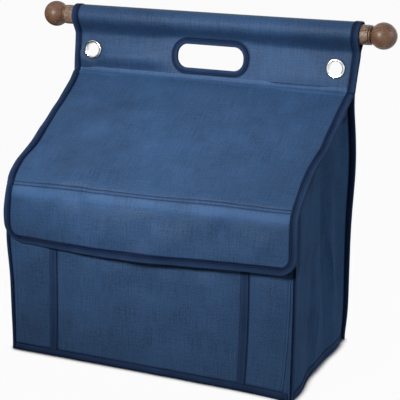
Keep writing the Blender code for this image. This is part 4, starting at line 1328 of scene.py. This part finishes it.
class BAG_OT_loop_strip(bpy.types.Operator):
    """The soft half of the closure, on the front wall"""

    bl_idname = "bag.make_loop_strip"
    bl_label = "Loop strip"

    def execute(self, context):
        inner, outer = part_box("loop_strip")
        middle, half = (inner + outer) / 2, (outer - inner) / 2
        tall = half.z / math.cos(LEAN) - 0.0002

        def place(across, along):
            y = middle.y + along * math.sin(LEAN) - CLOSURE_STRIP / 2 - tufts(across, along)
            return across, y, middle.z + along * math.cos(LEAN)

        grid = np.linspace(-half.x, half.x, 241), np.linspace(-tall, tall, 21)
        piece = sheet("front_loop_strip", place, *grid, CLOSURE_STRIP, finishes()["loops"])
        keep(piece, "hook_and_loop", "loop_strip")
        return {"FINISHED"}


# Header


def smoothed(line, pitch, width):
    """A polyline as evenly spaced points with its corners softened over about that width."""
    even = even_route(line, pitch)
    reach = int(3 * width / pitch)
    weights = near(np.arange(-reach, reach + 1) * pitch, width)
    weights /= weights.sum()
    first = even[0] - (even[1] - even[0]) * np.arange(reach, 0, -1)[:, None]
    last = even[-1] + (even[-1] - even[-2]) * np.arange(1, reach + 1)[:, None]
    padded = np.concatenate([first, even, last])
    soft = np.stack([np.convolve(padded[:, k], weights, "valid") for k in range(2)], -1)
    return even_route(soft, pitch)


class HeaderLine:
    """The side view of the header: up the front, round the pole and down the back, in its leaning plane."""

    def __init__(self, merge):
        up = np.array([math.sin(HEADER_LEAN), math.cos(HEADER_LEAN)])
        back = np.array([math.cos(HEADER_LEAN), -math.sin(HEADER_LEAN)])
        foot = np.array([SEAM_Y + HINGE_GAP, SEAM_Z])
        away = np.array([POLE_CENTRE.y, POLE_CENTRE.z]) - foot
        self.pole_up = float(away @ up)
        radius = POLE_RADIUS + AROUND_POLE
        side = np.array([-HEADER_STACK / 2, merge - self.pole_up])
        first = math.atan2(side[1], side[0]) - math.acos(radius / np.linalg.norm(side)) + 2 * math.pi
        turns = np.linspace(first, math.pi - first, 40)
        loop = [(HEADER_STACK / 2 + radius * math.cos(t), self.pole_up + radius * math.sin(t)) for t in turns]
        line = [(0, -0.002), (0, merge)] + loop + [(HEADER_STACK, merge), (HEADER_STACK, -0.002)]
        soft = smoothed(line, 0.0015, 0.0027)
        self.heights = soft[:, 1]
        self.points = foot + soft[:, :1] * back + soft[:, 1:] * up
        steps = np.linalg.norm(np.diff(self.points, axis=0), axis=1)
        self.travel = np.concatenate([[0.0], np.cumsum(steps)])
        self.length = float(self.travel[-1])
        self.foot, self.up, self.back = foot, up, back
        self.top = self.pole_up + radius

    def line(self, along):
        y = np.interp(along, self.travel, self.points[:, 0])
        z = np.interp(along, self.travel, self.points[:, 1])
        return y, z, np.interp(along, self.travel, self.heights)

    def at(self, across, deep, up):
        """A point of the header's leaning frame in the bag's."""
        y, z = self.foot + deep * self.back + up * self.up
        return Vector((across, y, z))


HEADER = HeaderLine(HEADER_MERGE)
LOOSE = HeaderLine(LOOSE_MERGE)

# How far the holes' cutters reach before and behind the header, and the radius cut under an eyelet
THROUGH = (-0.012, 0.018)
EYELET_HOLE = 0.0127

# How far the lap at the seam reaches up the header and down the lid
LAP_ABOVE = 0.006
LAP_BELOW = 0.009


def header_line(x, along):
    """(y, z) and height: the tight line over the hand hole, and the loose one towards the sides."""
    level = 0.045
    climb = np.clip((along - level) / (HEADER.length - 2 * level), 0, 1)
    tight = HEADER.line(along)
    loose = LOOSE.line(along + climb * (LOOSE.length - HEADER.length))
    share = rise(np.abs(x) - HAND_HOLE_HALF[0] - 0.004, 0.022)
    return [a * (1 - share) + b * share for a, b in zip(tight, loose)]


def header_half(height):
    """Half the header's width at a height over the seam."""
    share = np.clip(height / HEADER.top, 0, 1)
    return LID_HALF + (SLEEVE_HALF - LID_HALF) * share


def header_face(sizes):
    """The header's outer face: across as a share of its half width, along from seam to seam."""

    def place(across, along):
        y, z, height = header_line(across * SLEEVE_HALF, along)
        x = across * header_half(height)
        climb = np.clip(height / HEADER.top, 0, 1)
        right_end = np.clip(across, 0, 1) ** 2
        x = x + sizes.header_shift * climb * (1 - right_end * rise(height - HEADER.pole_up + 0.034, 0.016))
        z = z + 0.0016 * right_end * rise(height - HEADER.pole_up, POLE_RADIUS)
        front = np.where(along < HEADER.length / 2, 1.0, -1.0)
        edge = rise(header_half(height) * (1 - np.abs(across)), 0.010)
        low_part = rise(height, 0.012) * rise(HEADER.pole_up - 0.012 - height, 0.012) * held_flat(x, height)
        wave = 0.0026 * drift(x, height, 0.060, 101) + 0.0008 * drift(x, height + 9 * front, 0.026, 102)
        wrinkle = 0.0009 * near(height - HEADER_MERGE - 0.004, 0.014) * drift(x, height * 0.4, 0.024, 103)
        left, right = np.clip((-x - 0.05) / 0.07, 0, 1), np.clip((x - 0.07) / 0.10, 0, 1)
        tuck = 0.0056 * near(height - 0.0255, 0.0130) * left + 0.0012 * near(height - 0.016, 0.012) * right
        out = (wave * 0.7 + wrinkle) * low_part + tuck * edge * held_flat(x, height)
        out = np.maximum(out, -0.0004) * front
        return x, y - out * math.cos(HEADER_LEAN), z + out * math.sin(HEADER_LEAN)

    return place


def hole_distance(x, up):
    """Distance from a point of the header to the hand hole's edge, and 0 inside it."""
    wide = np.maximum(np.abs(x) - HAND_HOLE_HALF[0] + HAND_HOLE_CORNER, 0)
    tall = np.maximum(np.abs(up - HAND_HOLE_UP) - HAND_HOLE_HALF[1] + HAND_HOLE_CORNER, 0)
    return np.maximum(np.hypot(wide, tall) - HAND_HOLE_CORNER, 0)


def eyelet_distance(x, up):
    """Distance from a point of the header to the nearer eyelet's rim, and 0 under it."""
    spots = [eyelet_spot(word) for word in SIDES]
    return np.minimum(*[np.maximum(np.hypot(x - spot[0], up - spot[1]) - EYELET_RIM, 0) for spot in spots])


def held_flat(x, up):
    """0 where the hand hole's tape or an eyelet presses the header flat, rising to 1 away from them."""
    return rise(hole_distance(x, up) - 0.010, 0.008) * rise(eyelet_distance(x, up), 0.006)


def cutter(name, outline):
    """A closed prism of (x, height) points through the header, square to it."""
    count = len(outline)
    points = [HEADER.at(x, deep, up) for deep in THROUGH for x, up in outline]
    faces = [list(range(count))[::-1], list(range(count, 2 * count))]
    faces += [(i, (i + 1) % count, count + (i + 1) % count, count + i) for i in range(count)]
    mesh = bpy.data.meshes.new(name)
    mesh.from_pydata(points, [], faces)
    mesh.update()
    obj = new_object(name, mesh)
    face_outwards(obj)
    return obj


def cut_through(piece, cutters):
    """Cuts the holes and keeps only the result."""
    for tool in cutters:
        modifier = piece.modifiers.new(tool.name, "BOOLEAN")
        modifier.operation = "DIFFERENCE"
        modifier.object = tool
    bpy.context.view_layer.update()
    evaluated = piece.evaluated_get(bpy.context.evaluated_depsgraph_get())
    piece.data = bpy.data.meshes.new_from_object(evaluated)
    piece.modifiers.clear()
    for tool in cutters:
        bpy.data.objects.remove(tool)


def hole_outline(grown=0.0, steps=14):
    """The hand hole, grown by a distance, as (x, height) points, anticlockwise seen from the front."""
    wide, tall = (half - HAND_HOLE_CORNER for half in HAND_HOLE_HALF)
    radius = HAND_HOLE_CORNER + grown
    points = []
    for x, up, start in ((wide, tall, 0), (-wide, tall, 90), (-wide, -tall, 180), (wide, -tall, 270)):
        for t in np.radians(np.linspace(start, start + 90, steps + 1)):
            points.append((x + radius * math.cos(t), HAND_HOLE_UP + up + radius * math.sin(t)))
    return points


def header_plane(across, along):
    """The header's flat front plane: across in metres and along as the height above the seam."""
    return across, HEADER.foot[0] + along * HEADER.up[0], HEADER.foot[1] + along * HEADER.up[1]


def eyelet_spot(word):
    """(x, height) of an eyelet's middle in the header's leaning plane."""
    away = EYELETS[word] - Vector((0, *HEADER.foot))
    return away.x, away.y * HEADER.up[0] + away.z * HEADER.up[1]


class BAG_OT_header(bpy.types.Operator):
    """Header cloth round the pole, with its side tapes, hand hole and seam"""

    bl_idname = "bag.make_header"
    bl_label = "Header"

    def execute(self, context):
        sizes, mats = context.scene.bag_sizes, finishes()
        place, reach, lift = header_face(sizes), sizes.tape_reach, sizes.tape + AIR
        along = np.linspace(0, HEADER.length, 150)

        # Painted shade at the stitched rows, tape edges, hand hole and eyelets.
        def sewn(share, along):
            height = HEADER.line(along)[2]
            x = share * header_half(height)
            edge = np.maximum(header_half(height) * (1 - np.abs(share)) - reach, 0)
            hole = np.maximum(hole_distance(x, height) - sizes.hole_tape_reach, 0)
            rows = 0.8 * near(height - HEADER_SEAM_ROW, 0.0011) + near(edge, 0.0014) + near(hole, 0.0013)
            front = (along < HEADER.length / 2) * rise(hole, 0.006)
            left = np.clip((-x - 0.05) / 0.05, 0, 1)
            # Painted shade low on the left and under the pole's bulge, on the front layer away from the hand hole.
            shade = 0.46 * near(height - 0.0105, 0.0105) * left
            shade = shade + 0.50 * near(height - HEADER.pole_up + 0.0165, 0.0115)
            return rows + 0.7 * near(eyelet_distance(x, height), 0.0012) + shade * front

        grid = np.linspace(-1, 1, 261), along
        sleeve = sheet("header_cloth", place, *grid, HEADER_CLOTH, mats["cloth"], sewn=sewn, plain=True)
        tools = [cutter("hand_hole_tool", hole_outline(steps=10))]
        for word in SIDES:
            x, up = eyelet_spot(word)
            turns = np.arange(40) * math.pi / 20
            ring = [(x + EYELET_HOLE * math.cos(t), up + EYELET_HOLE * math.sin(t)) for t in turns]
            tools.append(cutter(f"eyelet_tool_{word}", ring))
        cut_through(sleeve, tools)
        keep(sleeve, "navy_cloth", "header_sleeve")
        rows = []
        for word, side in SIDES.items():
            route, name = [(side, a) for a in along], f"header_side_tape_{word}"
            tape = binding(name, place, route, HEADER_CLOTH, reach, mats["tape"], side, seed=110 + side)
            keep(tape, "navy_binding", f"header_binding_{word}")
            for row in (OUTER_ROW, INNER_ROW):
                share, short = side * (1 - (reach - row) / LID_HALF), 0.002
                rows.append((place, straight((share, short), (share, HEADER.length - short)), lift))
        self.hand_hole(sizes, mats, rows)
        ends = 0.955
        for row in (HEADER_SEAM_ROW, HEADER.length - HEADER_SEAM_ROW):
            rows.append((place, straight((-ends, row), (ends, row)), 0.0))
        keep(stitches("header_stitches", rows, mats["thread"]), "navy_binding")
        self.seam_lap(sizes, mats)
        return {"FINISHED"}

    def hand_hole(self, sizes, mats, rows):
        """Tape round the hand hole, over both layers, with a row of stitches on the front."""
        route = even_route(np.array(hole_outline()), 0.0025, closed=True)
        points, tangents, normals = frames_on(header_plane, route, HEADER_STACK / 2, closed=True)
        inwards = unit(np.cross(normals, tangents)) * -1
        shape = folded_outline(HEADER_STACK, sizes.hole_tape_reach, sizes.tape)
        tape = swept("hand_hole_tape", points, inwards, normals, shape, mats["tape"], closed=True)
        keep(tape, "navy_binding", "hand_hole_binding")
        row = hole_outline(sizes.hole_tape_reach - OUTER_ROW)
        rows.append((header_plane, np.array(row + row[:1]), sizes.tape + AIR))

    def seam_lap(self, sizes, mats):
        """The cloth that turns from the header into the lid at the seam."""
        header = HEADER.foot + HEADER.up * LAP_ABOVE - HEADER.back * 0.0004
        corner = HEADER.foot - HEADER.back * 0.0005
        lid_y, lid_z, ny, nz = LID.line(np.array(LAP_BELOW))
        lid = np.array([lid_y + ny * 0.0006, lid_z + nz * 0.0006])
        line = smoothed([lid, corner + (lid - corner) * 0.02, header], 0.0006, 0.0020)
        travel = np.linspace(0, 1, len(line))
        half = LID_HALF - sizes.tape_reach - 0.001

        def place(across, along):
            y = np.interp(along, travel, line[:, 0])
            z = np.interp(along, travel, line[:, 1])
            return across, y, z

        lap = sheet("seam_lap", place, np.linspace(-half, half, 120), travel, 0.0004, mats["cloth"])
        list(HEADER.foot + HEADER.up * 0.003)
        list(LID.at(0.006))
        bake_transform(lap)


# Eyelets, pole and balls


def lathe(name, outline, axis, place, material, steps=72, sharp=35.0):
    """A turned piece from a closed outline of (distance along the axis, radius) points."""
    axis = Vector(axis).normalized()
    side = axis.orthogonal().normalized()
    other = axis.cross(side)
    outline = np.asarray(outline, float)
    turns = np.arange(steps) * 2 * math.pi / steps
    spokes = np.array([side * math.cos(t) + other * math.sin(t) for t in turns])
    points = outline[:, None, :1] * np.array(axis) + outline[:, None, 1:] * spokes[None]
    points += np.array(place)
    rows = len(outline)
    index = np.arange(rows * steps).reshape(rows, steps)
    index = np.concatenate([index, index[:, :1]], axis=1)
    index = np.concatenate([index, index[:1]], axis=0)
    quads = np.stack([index[:-1, :-1], index[1:, :-1], index[1:, 1:], index[:-1, 1:]], -1).reshape(-1, 4)
    travel = np.concatenate([[0.0], np.cumsum(np.linalg.norm(np.diff(outline, axis=0), axis=1))])
    weave = np.stack(np.meshgrid(turns * POLE_RADIUS, travel), -1)
    made = mesh_object(name, points, quads.tolist(), weave, np.zeros((rows, steps)), material, sharp)
    merge_points(made)
    face_outwards(made)
    return made


def merge_points(obj):
    """Joins the points that meet on a turned piece's axis."""
    bm = bmesh.new()
    bm.from_mesh(obj.data)
    bmesh.ops.remove_doubles(bm, verts=bm.verts, dist=1e-6)
    bmesh.ops.recalc_face_normals(bm, faces=bm.faces)
    bm.to_mesh(obj.data)
    bm.free()


def arc(centre, radii, start, end, steps):
    """Points on an ellipse's arc of (along, radius), between two angles in degrees."""
    turns = np.radians(np.linspace(start, end, steps + 1))
    return [(centre[0] + radii[0] * math.cos(t), centre[1] + radii[1] * math.sin(t)) for t in turns]


class BAG_OT_eyelets(bpy.types.Operator):
    """Pressed eyelets with their washers"""

    bl_idname = "bag.make_eyelets"
    bl_label = "Eyelets"

    def execute(self, context):
        nickel, axis = finishes()["nickel"], (0, *HEADER.back)
        middle, half = (EYELET_BORE + EYELET_RIM) / 2, (EYELET_RIM - EYELET_BORE) / 2
        barrel = EYELET_BORE + EYELET_WALL
        curl, washer = HEADER_STACK + 0.0016, HEADER_STACK + AIR
        ring = [(-AIR, barrel), (curl - 0.0004, barrel), (curl - 0.0003, barrel + 0.0009)]
        ring += arc((curl, barrel + 0.0003), (0.0007, 0.0008), 90, -90, 8) + [(curl, EYELET_BORE)]
        ring += arc((-AIR, middle), (0.0016, half), -90, -270, 16)
        dish = [(washer, barrel + AIR), (washer, EYELET_RIM), (washer + 0.0007, EYELET_RIM - 0.0002)]
        dish += [(washer + 0.0010, EYELET_RIM - 0.0008), (washer + 0.0010, barrel + 0.0011)]
        dish += [(washer + 0.0006, barrel + AIR)]
        for word in SIDES:
            x, up = eyelet_spot(word)
            place = HEADER.at(x, 0.0, up)
            front = lathe(f"eyelet_ring_{word}", ring, axis, place, nickel)
            keep(front, "nickel_plate", f"eyelet_{word}")
            back = lathe(f"eyelet_back_washer_{word}", dish, axis, place, nickel)
            keep(back, "nickel_plate", f"eyelet_washer_{word}")
        return {"FINISHED"}


class BAG_OT_pole(bpy.types.Operator):
    """Wooden pole with a turned ball and a steel stud at each end"""

    bl_idname = "bag.make_pole"
    bl_label = "Pole and balls"

    def execute(self, context):
        mats = finishes()
        end, deep, edge = POLE_HALF, 0.0223, 0.0012
        half = [(end - deep, 0.0), (end - deep, STUD_BORE), (end, STUD_BORE)]
        half += arc((end - edge, POLE_RADIUS - edge), (edge, edge), 0, 90, 5)
        outline = half + [(-along, radius) for along, radius in reversed(half)]
        place = (0, *POLE_CENTRE.yz)
        pole = lathe("pole_wood", outline, (1, 0, 0), place, mats["pole_wood"], TURNED_STEPS)
        keep(pole, "walnut_stain", "pole", body="pole")
        for word, side in SIDES.items():
            self.ball(word, side, mats)
            NODES[f"stud_{word}"].data.materials.clear()
            NODES[f"stud_{word}"].data.materials.append(mats["nickel"])
        return {"FINISHED"}

    def ball(self, word, side, mats):
        """A collar with rounded edges, a groove, and a ball flattened a little where it was turned off."""
        inner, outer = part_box(f"finial_{word}")
        start = inner.x if side > 0 else -outer.x
        collar, groove, deep = 0.0156, 0.0124, 0.0206
        centre = (outer.x if side > 0 else -inner.x) - start - BALL_RADIUS
        opening = math.degrees(math.asin(groove / BALL_RADIUS))
        outline = [(deep, 0.0), (deep, STUD_BORE), (0.0, STUD_BORE), (0.0, collar - 0.0007)]
        outline += arc((0.0016, collar - 0.0010), (0.0016, 0.0010), 180, 0, 8)
        outline += [(0.0033, groove + 0.0008), (0.0036, groove), (0.0052, groove)]
        outline += arc((centre, 0.0), (BALL_RADIUS, BALL_RADIUS), 180 - opening, 0, 40)
        place = Vector((side * start, *POLE_CENTRE.yz))
        piece = lathe(f"ball_{word}", outline, (side, 0, 0), place, mats["ball_wood"], TURNED_STEPS)
        keep(piece, "walnut_stain", f"finial_{word}", body=f"finial_{word}")


class BAG_OT_sheets(bpy.types.Operator):
    """Works out each sheet's cut size and what lies on it, for a cut() that does nothing"""

    bl_idname = "bag.declare_sheets"
    bl_label = "Cut sizes"

    def execute(self, context):
        tall = FRONT_TOP / math.cos(LEAN)
        for layer in ("outer", "inner"):
            front, back = ["front_top_tape", "foot_tape_front"], ["foot_tape_back"]
            back = ["back_edge_tape_left", "back_edge_tape_right"] + back
            if layer == "inner":
                front, back = [], []
            self.cut(f"front_wall_{layer}", (2 * BODY_HALF, tall), [], front)
            self.cut(f"back_wall_{layer}", (2 * BACK_TOP_HALF, BACK_TOP), [], back)
            base = high("base_cloth") - low("base_cloth")
            self.cut(f"base_{layer}", (base.x, base.y), [], [], "laid")
            for word in SIDES:
                sewn_on = [f"gusset_top_tape_{word}", f"front_corner_tape_{word}", f"foot_tape_{word}"]
                wide = SIDE_BACK_Y - FRONT_Y
                least, most = (lid_height(y, GUSSET_TOP_DEPTH) for y in (FRONT_Y, SIDE_BACK_Y))
                sewn_on = sewn_on if layer == "outer" else []
                self.cut(f"gusset_{word}_{layer}", (wide, most), [], sewn_on, area=wide * (least + most) / 2)
        pocket = (2 * POCKET_HALF, POCKET_MOUTH / math.cos(LEAN))
        pocket_tapes = ["pocket_tape_left_sewn", "pocket_tape_right_sewn", "pocket_stitches"]
        self.cut("pocket_cloth_slack", pocket, ["front_wall_outer"], pocket_tapes)
        lid = (2 * LID_HALF, LID.foot)
        lid_tapes = ["lid_and_flap_tape", "lid_and_flap_stitches"]
        self.cut("lid_and_flap_cloth", lid, ["gusset_top_tape_left", "gusset_top_tape_right"], lid_tapes)
        self.cut("lid_and_flap_lining", lid, [], [])
        header_tapes = [f"header_side_tape_{word}" for word in SIDES] + ["hand_hole_tape", "header_stitches"]
        self.cut("header_cloth", (2 * SLEEVE_HALF, HEADER.length), ["pole_wood"], header_tapes, "folded")
        lap = 2 * (LID_HALF - context.scene.bag_sizes.tape_reach), LAP_ABOVE + LAP_BELOW
        self.cut("seam_lap", lap, [], [], "folded")
        return {"FINISHED"}

    def cut(self, name, flat, rests_on, sewn_on, held="stretched", area=None):
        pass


# Studio

CARD = ((-1, -1), (1, -1), (1, 1), (-1, 1))


def card(name, corners, material):
    """A flat four-cornered piece."""
    corners = np.array(corners)
    return mesh_object(name, corners, [(0, 1, 2, 3)], corners[:, :2], np.zeros(4), material)


class BAG_OT_studio(bpy.types.Operator):
    """Floor, soft lights, world and camera"""

    bl_idname = "bag.make_studio"
    bl_label = "Studio"

    def execute(self, context):
        studio = context.scene.bag_studio
        context.scene.view_settings.view_transform = "Standard"
        self.floor(context.scene)
        self.world(context.scene, studio)
        self.lamp("front_softbox", (-0.34, -1.17, 0.94), (0.5, 0.3), (0.0, 0.0, 0.40), 52.0, studio.key_power)
        self.lamp("top_softbox", (-0.1, -0.5, 1.9), (1.4, 1.0), (0.0, 0.0, 0.25), 180.0, studio.top_power)
        self.lamp("side_softbox", (1.6, 0.10, 0.75), (1.0, 1.0), (0.25, 0.0, 0.14), 70.0, studio.side_power)
        self.lamp("back_softbox", (0.1, 1.7, 0.62), (1.2, 0.8), (0.0, 0.1, 0.20), 60.0, studio.back_power)
        self.lamp("left_softbox", (-1.6, 0.60, 0.40), (1.0, 1.0), (-0.25, 0.0, 0.14), 60.0, studio.back_power)
        self.flag("left_flag", (-0.80, 0.35, 0.44), (0.9, 0.8), (0.0, 0.0, 0.45))
        self.flag("near_flag", (-0.75, -0.47, 0.44), (1.0, 0.8), (0.0, 0.0, 0.45))
        self.flag("low_flag", (-0.30, -0.60, 0.13), (1.0, 0.24), (0.0, 0.0, 0.45))
        self.flag("floor_flag", (-0.95, 0.45, 0.004), (1.1, 1.2), (-0.95, 0.45, 1.0))
        self.camera(context.scene, studio)
        return {"FINISHED"}

    def floor(self, scene):
        finish = Finish("studio_floor", Roughness=0.9, Specular_IOR_Level=0.1)
        grain = finish.noise(finish.place(), 14.0, 2.0)
        tint = tuple(scene.bag_colours.floor)
        finish.shade(Base_Color=finish.mix(grain, lighter(tint, 0.995), lighter(tint, 1.005)))
        glow = finish.node("ShaderNodeEmission", None, {"Color": (1.0, 1.0, 1.0), "Strength": 1.0})
        surface = Value(finish, finish.shader.outputs[0])
        # Near the bag, where ambient occlusion finds it close, the white glow gives way to the grey lit floor: a
        # painted contact shadow, with the real shadow showing in it.
        contact_shade = finish.node("ShaderNodeAmbientOcclusion", {"samples": 8}, {"Distance": 0.016}, "AO")
        inputs = {0: finish.shown() * contact_shade.above(0.52, 0.80) * 0.96, 1: surface, 2: glow}
        mixed = finish.node("ShaderNodeMixShader", None, inputs)
        finish.plug(finish.tree.nodes["Material Output"].inputs["Surface"], mixed)
        far, down = 6.0, -0.0004
        card("studio_floor", [(x * far, y * far, down) for x, y in CARD], finish.material)

    def world(self, scene, studio):
        world = bpy.data.worlds.new("studio_world")
        scene.world = world
        world.use_nodes = True
        nodes = Nodes(world.node_tree)
        even = nodes.tree.nodes["Background"].inputs
        nodes.plug(even["Color"], (1.0, 1.0, 1.0))
        strength = nodes.shown() * (studio.background - studio.ambient) + studio.ambient
        nodes.plug(even["Strength"], strength)

    def lamp(self, name, place, size, target, spread, power):
        """A soft box aimed at a target, with a grid that narrows its spread."""
        data = bpy.data.lights.new(name, "AREA")
        data.shape = "RECTANGLE"
        data.size, data.size_y = size
        data.spread = math.radians(spread)
        data.energy = power
        lamp = new_object(name, data)
        lamp.location = place
        aim = Vector(target) - lamp.location
        lamp.rotation_euler = aim.to_track_quat("-Z", "Y").to_euler()

    def flag(self, name, place, size, target):
        """A black card that only mirror-like rays see, so that shiny metal has a dark edge to mirror."""
        finish = Finish(name, Roughness=1.0, Specular_IOR_Level=0.0)
        patch = finish.noise(finish.place(), 3.0, 1.0)
        finish.shade(Base_Color=finish.mix(patch, (0.010, 0.010, 0.010), (0.020, 0.020, 0.020)))
        turn = (Vector(target) - Vector(place)).to_track_quat("Z", "Y").to_matrix()
        wide, tall = size[0] / 2, size[1] / 2
        corners = [turn @ Vector((x * wide, y * tall, 0)) + Vector(place) for x, y in CARD]
        piece = card(name, corners, finish.material)
        piece.visible_camera = piece.visible_diffuse = piece.visible_shadow = False

    def camera(self, scene, studio):
        data = bpy.data.cameras.new("photo_camera")
        data.lens = studio.lens
        data.sensor_width = 36.0
        camera = new_object("photo_camera", data)
        turn = Euler((math.pi / 2 - studio.camera_pitch, 0.0, studio.camera_yaw)).to_matrix().to_4x4()
        roll = Matrix.Rotation(studio.camera_roll, 4, "Z")
        camera.matrix_world = Matrix.Translation(studio.camera_place) @ turn @ roll
        scene.camera = camera


PIECES = [
    BAG_OT_walls,
    BAG_OT_bindings,
    BAG_OT_hems,
    BAG_OT_pocket,
    BAG_OT_loop_strip,
    BAG_OT_lid,
    BAG_OT_header,
    BAG_OT_eyelets,
    BAG_OT_pole,
    BAG_OT_sheets,
    BAG_OT_studio,
]


class BAG_PT_panel(bpy.types.Panel):
    """Lists the bag's pieces, sizes and colours"""

    bl_idname = "BAG_PT_panel"
    bl_label = "Grooming bag"
    bl_space_type = "VIEW_3D"
    bl_region_type = "UI"
    bl_category = "Bag"

    def draw(self, context):
        layout = self.layout
        for group in (context.scene.bag_sizes, context.scene.bag_colours, context.scene.bag_studio):
            box = layout.box()
            for name in group.__annotations__:
                box.prop(group, name)
        for piece in PIECES:
            layout.operator(piece.bl_idname)


CLASSES = [BagSizes, BagColours, BagStudio, *PIECES, BAG_PT_panel]
GROUPS = {"bag_sizes": BagSizes, "bag_colours": BagColours, "bag_studio": BagStudio}


def register():
    for cls in CLASSES:
        bpy.utils.register_class(cls)
    for name, group in GROUPS.items():
        setattr(bpy.types.Scene, name, bpy.props.PointerProperty(type=group))


def unregister():
    for name in GROUPS:
        delattr(bpy.types.Scene, name)
    for cls in reversed(CLASSES):
        bpy.utils.unregister_class(cls)


def main():
    register()
    for piece in PIECES:
        group, name = piece.bl_idname.split(".")
        getattr(getattr(bpy.ops, group), name)()


if __name__ == "__main__":
    main()
